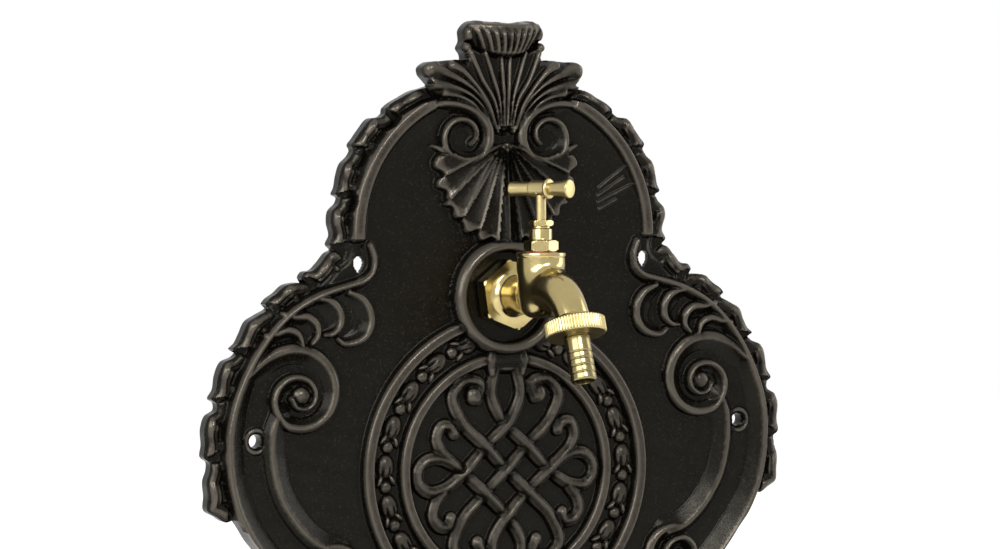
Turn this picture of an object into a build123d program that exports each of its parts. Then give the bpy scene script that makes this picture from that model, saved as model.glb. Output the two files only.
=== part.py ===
from build123d import *
import os
from math import atan2, cos, degrees, pi, radians, sin

# Cast-iron wall fountain with a brass bib tap. Sizes are in millimetres.
# The wall is the plane y = 0 and the fountain faces -Y, with +X to the viewer's right and +Z up.
# The origin is the point where the axis of the tap's inlet meets the wall.
# A name that ends in _front is a distance from the wall towards the viewer.
# Points of the plate's ornament are (x, z) pairs on its right half; the left half mirrors them.

# Depths of the plate casting
panel_front = 12.0
panel_wall = 5.0
leaf_front = 14.0
band_front = 17.0
knot_front = 16.0
shell_front = 15.5
rib_front = 17.0
cup_front = 24.0
relief_root = 2.0
pocket_margin = 9.0

# Outline of the plate
crest_points = [(21, 146), (36, 145.5), (50, 143), (54, 138.5), (50.5, 132.5)]
cup_points = [(19, 168.5), (25.5, 163.5), (25.3, 156), (27.4, 152), (22, 144.5)]
cup_dip_z = 166.8
arch_centre = (10, 39)
arch_radius = 95.0
arch_start_angle = 67.0
lobe_points = [(106.5, 22), (130, 4), (160, -21), (180, -60), (184, -95), (172, -137), (136, -180)]
waist = (117, -199)
apron_centre = (0, -190)
apron_radius = 136.0
apron_start_angle = -12.0

# Leaf garland along the outline: each leaf runs from its root to its tip
leaf_runs = [
    ((44, 123), (77, 115)), ((70, 107), (99.8, 93)), ((92, 87), (110.5, 63.8)), ((102, 60), (114.5, 33.5)),
    ((103, 33), (132.8, 14)), ((123, 6), (156.3, -1)), ((148, -8), (177.3, -27.3)),
    ((167, -31), (190.8, -56.5)), ((179, -60), (195.8, -91)), ((183, -94), (194, -122.5)),
]
leaf_outer_bulge = 6.0
leaf_inner_bulge = 9.0
leaf_vein_width = 5.0
leaf_vein_inset = 0.15
garland_end = (184, -121.5)
garland_end_radius = 8.0

# Raised bands and scrolls
arch_band_width = 8.0
arch_band_inset = 2.0
rim_points = [
    (91, 19), (103, 9.5), (125, 1.5), (150, -15), (170, -45), (177.5, -80), (174, -115), (158, -145),
    (134, -172),
]
rim_widths = (5.0, 10.0)
inner_band_points = [(152.5, -66), (152.5, -92), (148, -117), (135, -137), (117, -148.5)]
inner_band_widths = (9.0, 8.0)
crest_scroll = {"centre": (25.5, 99), "start": 60, "turn": 500, "radii": (19.0, 6.0), "widths": (6.0, 4.5)}
lobe_scroll = {"centre": (136, -55), "start": 55, "turn": 480, "radii": (22.5, 6.5), "widths": (8.0, 6.0)}
foot_scroll = {"centre": (117, -165), "start": 75, "turn": 440, "radii": (15.0, 5.0), "widths": (6.0, 4.5)}
scroll_samples = 24
curls = [((103, -10), 10.5), ((119, -11), 7.5), ((132, -19), 6.5), ((143, -27), 5.5)]
curl_start_angle = 70.0
curl_turn = 225.0
curl_width = 6.0
curl_end_width = 0.6

# Crest fan and the hanging shell below it
fan_pivot = (0, 98)
fan_rib_count = 11
fan_half_angle = 48.0
fan_rib_reach = 45.0
fan_rib_growth = 0.6
fan_rib_width = 4.0
fan_hub_radius = 5.0
shell_pivot = (0, 94)
shell_angles = [0, 7, 20, 34, 49, 65, 84]
shell_radii = [61, 60, 58.5, 55, 51.5, 48.5]
shell_rib_width = 2.4
shell_hub_radius = 4.0

# Medallion with its rings, berries and interlaced knot
medallion_z = -106.0
outer_ring_radius = 94.0
outer_ring_width = 9.0
inner_ring_radius = 68.8
inner_ring_width = 7.5
berry_count = 21
berry_size = (5.0, 3.6)
berry_top_gap = 35.0
bow_roll = (11.0, 69.0)
bow_roll_size = (5.0, 7.0)
strand_width = 7.0
# The strands are measured from the middle of the knot, (x, z), for the lines that fall to the right
loop_strand = [(-7, 63), (-10, 46), (-3, 31), (13, 15), (30, -1.5), (47, -11.5), (62, -6), (63, 5), (46, 10)]
scroll_strand = [(-20, 44), (-17, 52), (-27, 55.5), (-36, 47), (-31, 31.5), (-15, 15), (0, 0)]
hook_strand = [(-37, 26), (-43, 28), (-47, 19), (-31, 1), (-15, -14), (0, -29), (10, -46), (7, -63)]
low_hook_strand = [(-45, -11), (-48, -20), (-44, -28), (-36, -27)]

# Tap boss and the holes of the plate
boss_outer_radius = 36.0
boss_crest_radius = 31.5
boss_recess_radius = 26.0
boss_front = 20.0
recess_front = 11.0
screw_hole = (164.5, -82)
screw_hole_radius = 4.2
screw_pad_radius = 7.5
screw_pad_front = 14.5
hang_hole = (97, 23)
hang_hole_radius = 4.3
hang_hole_tip_drop = 8.6
hang_foot = 2.9
hole_pad_radius = 11.0

# Basin
basin_rim_z = -214.0
basin_radius = 142.0
basin_wall = 6.0
basin_floor_z = -306.0
basin_floor_radius = 90.0
basin_rim_height = 12.0
basin_lip = 7.0
basin_bolt_places = [(84, -240), (48, -288)]
bolt_radius = 3.0
bolt_clearance = 0.3
bolt_head_radius = 6.5
bolt_head_height = 3.5
bolt_washer_radius = 6.5
bolt_washer_height = 1.0
bolt_nut_flats = 10.0
bolt_nut_height = 4.6
bolt_tail = 0.8

# Waste of the basin
waste_reach = 55.0
waste_radius = 13.2
waste_clearance = 0.4
waste_bore = 9.5
waste_flange_radius = 22.0
waste_flange_height = 2.5
waste_bar = 2.5
waste_tail_length = 38.0
waste_free_length = 20.0
waste_groove_radius = 12.4
waste_groove_length = 2.0
waste_seal_height = 2.0
waste_nut_flats = 36.0
waste_nut_height = 8.0

# Tap: distances along its inlet axis are measured from the wall
thread_clearance = 0.1
inlet_radius = 10.48
inlet_bore = 6.0
inlet_bore_end = 50.0
inlet_reach = 14.0
inlet_groove_radius = 9.6
inlet_groove_length = 1.5
passage_bore = 4.2
passage_start = 40.0
passage_z = -3.5
collar_radius = 15.0
wall_washer_height = 1.5
wall_washer_clearance = 0.15
flange_back = 14.0
flange_front = 25.0
flange_flats = 38.0
flange_turn = 8.0
flare_radius = 17.0
flare_front = 32.0
neck_radius = 10.6
spindle_reach = 61.4
barrel_radius = 14.7
barrel_shoulder_z = 14.0
barrel_waist_radius = 12.9
barrel_waist_z = -2.0
barrel_foot_radius = 7.5
barrel_bottom_z = -11.0
barrel_rim_radius = 15.1
barrel_rim_height = 2.8
barrel_top_z = 28.2
chamber_radius = 7.9
seat_z = 5.5
seat_bore = 4.6
backnut_flats = 30.0
backnut_height = 5.0
spout_start = 64.0
spout_reach = 105.566
spout_end_z = -15.625
spout_turn = 70.0
spout_bend_radius = 34.0
spout_radius = 11.0
spout_bore_bend_radius = 42.0
spout_bore = 5.5
outlet_radius = 13.2
outlet_back = 6.0
outlet_face = 0.6

# Valve head
gasket_height = 0.8
bonnet_flats = 18.0
bonnet_hex_height = 6.4
bonnet_neck_radius = 6.9
bonnet_neck_top_z = 44.0
bonnet_skirt = 6.0
spindle_thread_radius = 5.0
spindle_stem_radius = 3.3
spindle_stop_z = 27.0
spindle_stop_room = 6.0
running_clearance = 0.08
gland_chamber_radius = 4.9
packing_height = 3.4
gland_nose = 1.6
gland_nut_flats = 13.0
gland_nut_height = 3.5
jumper_stem_radius = 2.6
jumper_stem_length = 10.0
jumper_radius = 6.8
jumper_height = 2.4
jumper_stud_radius = 1.6
seat_washer_height = 3.0
seat_washer_radius = 6.4
jumper_nut_flats = 6.4
jumper_nut_height = 2.6

# Handle
handle_z = 66.2
handle_angle = -58.4
hub_radius = 5.7
hub_length = 13.6
arm_length = 14.0
near_arm_radii = (3.8, 5.7)
far_arm_radii = (4.2, 4.5)
arm_end_chamfer = 0.5
arm_spigot_radius = 2.0
arm_spigot_length = 2.6
pin_radius = 0.9
pin_drop = 2.2
pin_clearance = 0.03
hub_socket_depth = 6.6

# Hose union on the outlet
union_radius = 18.2
union_height = 9.4
union_lip = 1.3
union_lip_clearance = 0.3
union_flute_count = 60
union_flute_radius = 0.55
union_seat_clearance = 0.1
union_washer_height = 1.4
tail_flange_radius = 12.6
tail_radius = 7.2
tail_bore = 5.4
tail_length = 28.0
barb_count = 4
barb_rise = 0.55
barb_pitch = 4.2


def front(depth):
    """Plane parallel to the wall, at a depth towards the viewer."""
    return Plane.XZ.offset(depth)


def ribbon(centre, width, samples):
    """Face that a changing width sweeps along a centre line; both are functions of 0 to 1."""
    spine = [Vector(*centre(i / samples)) for i in range(samples + 1)]
    left = []
    right = []
    for i, point in enumerate(spine):
        along = spine[min(i + 1, samples)] - spine[max(i - 1, 0)]
        across = Vector(-along.Y, along.X).normalized() * (width(i / samples) / 2)
        left.append(point + across)
        right.append(point - across)
    with BuildSketch() as face:
        with BuildLine():
            Spline(*left)
            Line(left[-1], right[-1])
            Spline(*reversed(right))
            Line(right[0], left[0])
        make_face()
    return face.sketch


def band(points, widths, samples=14):
    """Ribbon along a smooth line through points, with a width that changes evenly."""
    line = Edge.make_spline([Vector(*point) for point in points])
    return ribbon(
        lambda t: ((line @ t).X, (line @ t).Y), lambda t: widths[0] + (widths[1] - widths[0]) * t, samples,
    )


def scroll(centre, start, turn, radii, widths):
    """Ribbon on a spiral that winds in evenly round its centre."""
    def spiral(t):
        angle = radians(start + turn * t)
        radius = radii[0] + (radii[1] - radii[0]) * t
        return centre[0] + radius * cos(angle), centre[1] + radius * sin(angle)
    return ribbon(spiral, lambda t: widths[0] + (widths[1] - widths[0]) * t, scroll_samples)


def curl(centre, radius):
    """Crescent that thins out at both ends."""
    def arc(t):
        angle = radians(curl_start_angle + curl_turn * t)
        return centre[0] + radius * cos(angle), centre[1] + radius * sin(angle)
    return ribbon(arc, lambda t: curl_end_width + curl_width * sin(pi * t), 10)


def lens(root, tip, outer, inner):
    """Leaf between two arcs, with its outer side on the left of the run from root to tip."""
    start = Vector(*root)
    end = Vector(*tip)
    along = end - start
    left = Vector(-along.Y, along.X).normalized()
    with BuildSketch() as face:
        with BuildLine():
            ThreePointArc(start, (start + end) / 2 + left * outer, end)
            ThreePointArc(end, (start + end) / 2 - left * inner, start)
        make_face()
    return face.sketch


def wedge(pivot, angle_from, angle_to, radius):
    """Triangle from a pivot to a chord, with angles measured from straight down."""
    corners = [polar(pivot, radius, angle - 90) for angle in (angle_from, angle_to)]
    with BuildSketch() as face:
        with BuildLine():
            Polyline(pivot, *corners, close=True)
        make_face()
    return face.sketch


def spread(start, end, count):
    """Values from start to end in equal steps."""
    return [start + (end - start) * i / (count - 1) for i in range(count)]


def polar(centre, radius, angle):
    """Point at a radius and an angle from +X round a centre."""
    return centre[0] + radius * cos(radians(angle)), centre[1] + radius * sin(radians(angle))


def inset(line, distance, places):
    """Points beside a line that runs down the plate's right side, moved in by a distance."""
    return [line @ t + Vector((line % t).Y, -(line % t).X) * distance for t in places]


# The plate's outline, without its leaves
crest_top = (0, crest_points[0][1])
arch_start = polar(arch_centre, arch_radius, arch_start_angle)
arch_end = polar(arch_centre, arch_radius, 0)
with BuildSketch() as plate_outline:
    with BuildLine():
        Line(crest_top, crest_points[0])
        Spline(*crest_points, arch_start)
        ThreePointArc(arch_start, polar(arch_centre, arch_radius, arch_start_angle / 2), arch_end)
        lobe_line = Spline(arch_end, *lobe_points, waist)
        Line(waist, polar(apron_centre, apron_radius, apron_start_angle))
        CenterArc(apron_centre, apron_radius, apron_start_angle, -90 - apron_start_angle)
        Line(polar(apron_centre, apron_radius, -90), crest_top)
    make_face()
    mirror(about=Plane.YZ)

# Hollow behind the plate, inside the outline by a margin
pocket_radius = arch_radius - pocket_margin
pocket_start = polar(arch_centre, pocket_radius, arch_start_angle)
pocket_bend = polar(arch_centre, pocket_radius, 0)
pocket_side = inset(lobe_line, pocket_margin, (0.15, 0.3, 0.45, 0.6, 0.75, 0.9))
pocket_waist = (waist[0] - 2 * pocket_margin, waist[1])
pocket_apron_radius = apron_radius - pocket_margin
with BuildSketch() as pocket:
    with BuildLine():
        Line((0, pocket_start[1]), pocket_start)
        ThreePointArc(pocket_start, polar(arch_centre, pocket_radius, arch_start_angle / 2), pocket_bend)
        Spline(pocket_bend, *pocket_side)
        Polyline(pocket_side[-1], pocket_waist, polar(apron_centre, pocket_apron_radius, apron_start_angle))
        CenterArc(apron_centre, pocket_apron_radius, apron_start_angle, -90 - apron_start_angle)
        Line(polar(apron_centre, pocket_apron_radius, -90), (0, pocket_start[1]))
    make_face()
    mirror(about=Plane.YZ)

# Leaves of the garland on both sides, and the vein along the middle of each leaf
with BuildSketch() as leaves:
    for root, tip in leaf_runs:
        add(lens(root, tip, leaf_outer_bulge, leaf_inner_bulge))
    with Locations(garland_end):
        Circle(garland_end_radius)
    mirror(about=Plane.YZ)

with BuildSketch() as leaf_veins:
    for root, tip in leaf_runs:
        vein_root = Vector(*root) + (Vector(*tip) - Vector(*root)) * leaf_vein_inset * 2
        vein_tip = Vector(*tip) + (Vector(*root) - Vector(*tip)) * leaf_vein_inset
        add(lens(vein_root, vein_tip, leaf_vein_width / 2, leaf_vein_width / 2))
    mirror(about=Plane.YZ)

# Bands that stand highest on the plate: arch, rim, inner bands and all the scrolls
with BuildSketch() as bands:
    arch_band_radius = arch_radius - arch_band_width / 2 - arch_band_inset
    add(ribbon(lambda t: polar(arch_centre, arch_band_radius, arch_start_angle * (1 - t)),
               lambda t: arch_band_width, 12))
    add(band(rim_points, rim_widths))
    add(band(inner_band_points, inner_band_widths))
    for shape in (crest_scroll, lobe_scroll, foot_scroll):
        add(scroll(**shape))
    for centre, radius in curls:
        add(curl(centre, radius))
    mirror(about=Plane.YZ)

# Ribs of the crest fan, and the stepped shell that hangs below it
with BuildSketch() as fan_ribs:
    for angle in spread(-fan_half_angle, fan_half_angle, fan_rib_count):
        reach = fan_rib_reach / cos(radians(angle)) ** fan_rib_growth
        rib_end = polar(fan_pivot, reach, 90 - angle)
        add(lens(fan_pivot, rib_end, fan_rib_width / 2, fan_rib_width / 2))
    with Locations(fan_pivot):
        Circle(fan_hub_radius)

with BuildSketch() as shell:
    for angle_from, angle_to, radius in zip(shell_angles, shell_angles[1:], shell_radii):
        add(wedge(shell_pivot, angle_from, angle_to, radius))
    mirror(about=Plane.YZ)

with BuildSketch() as shell_ribs:
    for angle, radius in zip(shell_angles[1:], shell_radii):
        rib_end = polar(shell_pivot, radius - shell_rib_width, angle - 90)
        add(lens(shell_pivot, rib_end, shell_rib_width / 2, shell_rib_width / 2))
    with Locations(shell_pivot):
        Circle(shell_hub_radius)
    mirror(about=Plane.YZ)

with BuildSketch() as crest_cup:
    with BuildLine():
        cup_left = [(-x, z) for x, z in cup_points]
        ThreePointArc(cup_left[0], (0, cup_dip_z), cup_points[0])
        Spline(*cup_points)
        Line(cup_points[-1], cup_left[-1])
        Spline(*reversed(cup_left))
    make_face()

# Interlaced knot: the strands that fall to the right and their mirror images
knot_centre = (0, medallion_z)


def strand(points):
    """Knot strand placed round the middle of the medallion."""
    return band([(x, z + medallion_z) for x, z in points], (strand_width, strand_width), 24)


with BuildSketch() as knot:
    scroll_return = [(-x, -z) for x, z in reversed(scroll_strand[:-1])]
    for points in (loop_strand, scroll_strand + scroll_return, hook_strand, low_hook_strand):
        add(strand(points))
    with Locations((bow_roll[0], bow_roll[1] + medallion_z)):
        Ellipse(*bow_roll_size)
    mirror(about=Plane.YZ)

with BuildSketch() as rings:
    with Locations(knot_centre):
        for radius, width in ((outer_ring_radius, outer_ring_width), (inner_ring_radius, inner_ring_width)):
            Circle(radius + width / 2)
            Circle(radius - width / 2, mode=Mode.SUBTRACT)

with BuildSketch() as berries:
    groove_outer = outer_ring_radius - outer_ring_width / 2
    groove_inner = inner_ring_radius + inner_ring_width / 2
    berry_ring_radius = (groove_outer + groove_inner) / 2
    for angle in spread(berry_top_gap, 360 - berry_top_gap, berry_count):
        with Locations(Location(polar(knot_centre, berry_ring_radius, 90 - angle) + (0,), (0, 0, 1), -angle)):
            Ellipse(*berry_size)

with BuildPart() as back_plate:
    with BuildSketch(front(0)):
        add(plate_outline.sketch)
    extrude(amount=panel_front)
    with BuildSketch(front(0)):
        add(leaves.sketch)
    extrude(amount=leaf_front)
    with BuildSketch(front(0)):
        add(crest_cup.sketch)
    extrude(amount=cup_front)
    for relief, relief_front in (
        (leaf_veins, rib_front), (fan_ribs, rib_front), (shell, shell_front), (shell_ribs, rib_front),
        (berries, shell_front), (knot, knot_front), (rings, band_front), (bands, band_front),
    ):
        with BuildSketch(front(panel_front - relief_root)):
            add(relief.sketch)
        extrude(amount=relief_front - panel_front + relief_root)
    # Boss with sloping sides round the tap's recess
    with BuildSketch(front(panel_front - relief_root)):
        Circle(boss_outer_radius)
    with BuildSketch(front(boss_front)):
        Circle(boss_crest_radius)
    loft()
    with BuildSketch(front(recess_front)):
        Circle(boss_recess_radius)
    extrude(amount=boss_front - recess_front, mode=Mode.SUBTRACT)
    # Pads round the lower screw holes
    with BuildSketch(front(panel_front - relief_root)):
        with Locations(screw_hole, (-screw_hole[0], screw_hole[1])):
            Circle(screw_pad_radius)
    extrude(amount=screw_pad_front - panel_front + relief_root)
    # Hollow back, with solid pads left round the holes
    with BuildSketch(front(0)):
        add(pocket.sketch)
        for x, z in (screw_hole, hang_hole):
            with Locations((x, z), (-x, z)):
                Circle(hole_pad_radius, mode=Mode.SUBTRACT)
    extrude(amount=panel_front - panel_wall, mode=Mode.SUBTRACT)
    # Screw holes, hanging holes with a pointed foot, the tap's hole and the basin's bolt holes
    with BuildSketch(front(0)):
        with Locations(screw_hole, (-screw_hole[0], screw_hole[1])):
            Circle(screw_hole_radius)
        for side in (1, -1):
            with Locations((side * hang_hole[0], hang_hole[1])):
                Circle(hang_hole_radius)
                hang_tip = (0, -hang_hole_tip_drop)
                Polygon((-hang_foot, -hang_foot), hang_tip, (hang_foot, -hang_foot), align=None)
        Circle(inlet_radius + bolt_clearance)
        with Locations(*basin_bolt_places, *[(-x, z) for x, z in basin_bolt_places]):
            Circle(bolt_radius + bolt_clearance)
    extrude(amount=cup_front, mode=Mode.SUBTRACT)
back_plate.part.label = "back_plate"

# Half-round basin: a bowl turned half way round an upright axis on the plate, closed by a back wall
basin_bottom_z = basin_floor_z - basin_wall
basin_belly_z = basin_rim_z - basin_rim_height
belly_height = basin_belly_z - basin_bottom_z
belly_radius = ((basin_radius - basin_floor_radius) ** 2 + belly_height ** 2) / (2 * belly_height)
belly_inner_radius = belly_radius - basin_wall
belly_rise = basin_belly_z - basin_bottom_z - belly_radius
basin_mouth_radius = basin_floor_radius + (belly_inner_radius ** 2 - belly_rise ** 2) ** 0.5
basin_axis = Axis((0, -panel_front, 0), (0, 0, -1))
back_wall_front = panel_front + basin_wall
mirrored_bolts = [(side * x, z) for side in (1, -1) for x, z in basin_bolt_places]

with BuildPart() as basin_hollow:
    with BuildSketch(front(panel_front)):
        with BuildLine():
            Polyline((0, basin_rim_z), (0, basin_floor_z), (basin_floor_radius, basin_floor_z))
            mouth = (basin_mouth_radius, basin_belly_z)
            TangentArc((basin_floor_radius, basin_floor_z), mouth, tangent=(1, 0))
            Polyline(mouth, (basin_mouth_radius, basin_rim_z), (0, basin_rim_z))
        make_face()
    revolve(axis=basin_axis, revolution_arc=180)
    split(bisect_by=front(back_wall_front), keep=Keep.TOP)

with BuildPart() as basin:
    with BuildSketch(front(panel_front)):
        with BuildLine():
            Polyline((0, basin_rim_z), (0, basin_bottom_z), (basin_floor_radius, basin_bottom_z))
            TangentArc((basin_floor_radius, basin_bottom_z), (basin_radius, basin_belly_z), tangent=(1, 0))
            lip_middle = (basin_radius + basin_lip, basin_rim_z - basin_rim_height / 2)
            ThreePointArc((basin_radius, basin_belly_z), lip_middle, (basin_radius, basin_rim_z))
            Line((basin_radius, basin_rim_z), (0, basin_rim_z))
        make_face()
    revolve(axis=basin_axis, revolution_arc=180)
    add(basin_hollow.part, mode=Mode.SUBTRACT)
    with BuildSketch(front(panel_front)):
        with Locations(*mirrored_bolts):
            Circle(bolt_radius + bolt_clearance)
    extrude(amount=basin_wall, mode=Mode.SUBTRACT)
    with BuildSketch(Plane.XY.offset(basin_bottom_z)):
        with Locations((0, -panel_front - waste_reach)):
            Circle(waste_radius + waste_clearance)
    extrude(amount=basin_wall, mode=Mode.SUBTRACT)
basin.part.label = "basin"

# Bolts through the basin's back wall and the plate, with washers and nuts in the plate's hollow
pocket_front = panel_front - panel_wall
bolt_nut_front = pocket_front - bolt_washer_height
bolt_end_front = bolt_nut_front - bolt_nut_height - bolt_tail

with BuildPart() as basin_bolts:
    with BuildSketch(front(bolt_end_front)):
        with Locations(*mirrored_bolts):
            Circle(bolt_radius)
    extrude(amount=back_wall_front - bolt_end_front)
    with BuildSketch(front(back_wall_front)):
        with Locations(*mirrored_bolts):
            Circle(bolt_head_radius)
    extrude(amount=bolt_head_height)
    fillet(basin_bolts.edges().filter_by(GeomType.CIRCLE).group_by(Axis.Y)[0], bolt_head_height * 0.8)
basin_bolts.part.label = "basin_bolts"

with BuildPart() as basin_washers:
    with BuildSketch(front(bolt_nut_front)):
        with Locations(*mirrored_bolts):
            Circle(bolt_washer_radius)
            Circle(bolt_radius + bolt_clearance, mode=Mode.SUBTRACT)
    extrude(amount=bolt_washer_height)
basin_washers.part.label = "basin_washers"

with BuildPart() as basin_nuts:
    with BuildSketch(front(bolt_nut_front - bolt_nut_height)):
        with Locations(*mirrored_bolts):
            RegularPolygon(bolt_nut_flats / 2, 6, major_radius=False)
            Circle(bolt_radius + thread_clearance, mode=Mode.SUBTRACT)
    extrude(amount=bolt_nut_height)
basin_nuts.part.label = "basin_nuts"

# Waste: a strainer with a crossed grate, its seal and its locknut under the basin
waste_place = (0, -panel_front - waste_reach)

with BuildPart() as waste_strainer:
    with BuildSketch(Plane.XY.offset(basin_floor_z)):
        with Locations(waste_place):
            Circle(waste_flange_radius)
            Circle(waste_bore, mode=Mode.SUBTRACT)
            Rectangle(2 * waste_flange_radius - waste_bar, waste_bar)
            Rectangle(waste_bar, 2 * waste_flange_radius - waste_bar)
    extrude(amount=waste_flange_height)
    with BuildSketch(Plane.XY.offset(basin_floor_z)):
        with Locations(waste_place):
            Circle(waste_radius)
            Circle(waste_bore, mode=Mode.SUBTRACT)
    extrude(amount=-waste_tail_length)
    # Groove that ends the thread of the free tail
    with BuildSketch(Plane.XY.offset(basin_floor_z - waste_tail_length + waste_free_length)):
        with Locations(waste_place):
            Circle(waste_radius)
            Circle(waste_groove_radius, mode=Mode.SUBTRACT)
    extrude(amount=waste_groove_length, mode=Mode.SUBTRACT)
waste_strainer.part.label = "waste_strainer"

with BuildPart() as waste_seal:
    with BuildSketch(Plane.XY.offset(basin_bottom_z)):
        with Locations(waste_place):
            Circle(waste_flange_radius)
            Circle(waste_radius + waste_clearance, mode=Mode.SUBTRACT)
    extrude(amount=-waste_seal_height)
waste_seal.part.label = "waste_seal"

with BuildPart() as waste_locknut:
    with BuildSketch(Plane.XY.offset(basin_bottom_z - waste_seal_height)):
        with Locations(waste_place):
            RegularPolygon(waste_nut_flats / 2, 6, major_radius=False)
            Circle(waste_radius + thread_clearance, mode=Mode.SUBTRACT)
    extrude(amount=-waste_nut_height)
waste_locknut.part.label = "waste_locknut"

# Tap body: shank, collar, hexagon, flared neck, barrel, curved spout and threaded outlet
collar_back = recess_front + wall_washer_height
barrel_place = (0, -spindle_reach)
outlet_way = Vector(0, -cos(radians(spout_turn)), -sin(radians(spout_turn)))
outlet_origin = Vector(0, -spout_reach, spout_end_z)
outlet = Plane(origin=outlet_origin, x_dir=(1, 0, 0), z_dir=outlet_way)
outlet_profile = Plane(origin=outlet_origin, x_dir=(1, 0, 0), z_dir=Vector(1, 0, 0).cross(outlet_way))
outlet_axis = Axis(outlet_origin, outlet_way)

with BuildPart() as tap_body:
    for depth, radius, end in (
        (-inlet_reach, inlet_radius, collar_back), (collar_back, collar_radius, flange_back),
    ):
        with BuildSketch(front(depth)):
            Circle(radius)
        extrude(amount=end - depth)
    # Groove at the wall that ends the thread of the free inlet
    with BuildSketch(front(0)):
        Circle(inlet_radius)
        Circle(inlet_groove_radius, mode=Mode.SUBTRACT)
    extrude(amount=inlet_groove_length, mode=Mode.SUBTRACT)
    with BuildSketch(front(flange_back)):
        RegularPolygon(flange_flats / 2, 6, major_radius=False, rotation=30 + flange_turn)
    extrude(amount=flange_front - flange_back)
    with BuildSketch(front(flange_front)):
        Circle(flare_radius)
    flare_length = flare_front - flange_front
    extrude(amount=flare_length, taper=degrees(atan2(flare_radius - neck_radius, flare_length)))
    with BuildSketch(front(flange_front)):
        Circle(neck_radius)
    extrude(amount=spindle_reach - flange_front)
    with BuildSketch(Plane(origin=(0, -spindle_reach, 0), x_dir=(0, 1, 0), z_dir=(1, 0, 0))):
        with BuildLine():
            Polyline(
                (0, barrel_bottom_z), (barrel_foot_radius, barrel_bottom_z),
                (barrel_waist_radius, barrel_waist_z), (barrel_radius, barrel_shoulder_z),
                (barrel_radius, barrel_top_z), (0, barrel_top_z), close=True,
            )
        make_face()
    revolve(axis=Axis((0, -spindle_reach, 0), (0, 0, 1)))
    with BuildSketch(Plane.XY.offset(barrel_top_z - barrel_rim_height)):
        with Locations(barrel_place):
            Circle(barrel_rim_radius)
    extrude(amount=barrel_rim_height)
    # Spout and its bore: level from inside the barrel, then an arc down to the outlet
    for bend_radius, radius, mode in (
        (spout_bend_radius, spout_radius, Mode.ADD), (spout_bore_bend_radius, spout_bore, Mode.SUBTRACT),
    ):
        bend_middle = polar((-spout_reach, spout_end_z), bend_radius, spout_turn - 90)
        with BuildSketch(front(spout_start)):
            with Locations((0, bend_middle[1] + bend_radius)):
                Circle(radius)
        extrude(amount=-bend_middle[0] - spout_start, mode=mode)
        with BuildLine(Plane.YZ) as spout_bend:
            CenterArc(bend_middle, bend_radius, 90, spout_turn)
        with BuildSketch(front(-bend_middle[0])):
            with Locations((0, bend_middle[1] + bend_radius)):
                Circle(radius)
        sweep(path=spout_bend.line, mode=mode)
    with BuildSketch(outlet.offset(-outlet_back)):
        Circle(outlet_radius)
    extrude(amount=outlet_back + outlet_face)
    # Waterway: inlet, passage under the seat, seat, valve chamber and outlet
    with BuildSketch(front(-inlet_reach)):
        Circle(inlet_bore)
    extrude(amount=inlet_reach + inlet_bore_end, mode=Mode.SUBTRACT)
    with BuildSketch(front(passage_start)):
        with Locations((0, passage_z)):
            Circle(passage_bore)
    extrude(amount=spindle_reach - passage_start, mode=Mode.SUBTRACT)
    with BuildSketch(Plane.XY.offset(passage_z)):
        with Locations(barrel_place):
            Circle(seat_bore)
    extrude(amount=seat_z - passage_z, mode=Mode.SUBTRACT)
    with BuildSketch(Plane.XY.offset(seat_z)):
        with Locations(barrel_place):
            Circle(chamber_radius)
    extrude(amount=barrel_top_z - seat_z, mode=Mode.SUBTRACT)
    with BuildSketch(outlet.offset(-outlet_back)):
        Circle(spout_bore)
    extrude(amount=outlet_back + outlet_face, mode=Mode.SUBTRACT)
tap_body.part.label = "tap_body"

with BuildPart() as wall_washer:
    with BuildSketch(front(recess_front)):
        Circle(collar_radius)
        Circle(inlet_radius + wall_washer_clearance, mode=Mode.SUBTRACT)
    extrude(amount=wall_washer_height)
wall_washer.part.label = "wall_washer"

with BuildPart() as tap_backnut:
    with BuildSketch(front(pocket_front - backnut_height)):
        RegularPolygon(backnut_flats / 2, 6, major_radius=False)
        Circle(inlet_radius + thread_clearance, mode=Mode.SUBTRACT)
    extrude(amount=backnut_height)
tap_backnut.part.label = "tap_backnut"


def ring(bottom_z, top_z, radius, bore):
    """Ring or washer round the spindle axis."""
    with BuildPart() as piece:
        with BuildSketch(Plane.XY.offset(bottom_z)):
            with Locations(barrel_place):
                Circle(radius)
                Circle(bore, mode=Mode.SUBTRACT)
        extrude(amount=top_z - bottom_z)
    return piece


# Valve head: gasket, bonnet, gland packing and gland nut
bonnet_foot_z = barrel_top_z + gasket_height
bonnet_hex_top_z = bonnet_foot_z + bonnet_hex_height
bonnet_skirt_z = bonnet_foot_z - bonnet_skirt
spindle_bore = spindle_thread_radius + running_clearance
stem_bore = spindle_stem_radius + running_clearance
gland_floor_z = bonnet_neck_top_z - gland_nose - packing_height

bonnet_gasket = ring(barrel_top_z, bonnet_foot_z, bonnet_flats / 2, chamber_radius)
bonnet_gasket.part.label = "bonnet_gasket"

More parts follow.
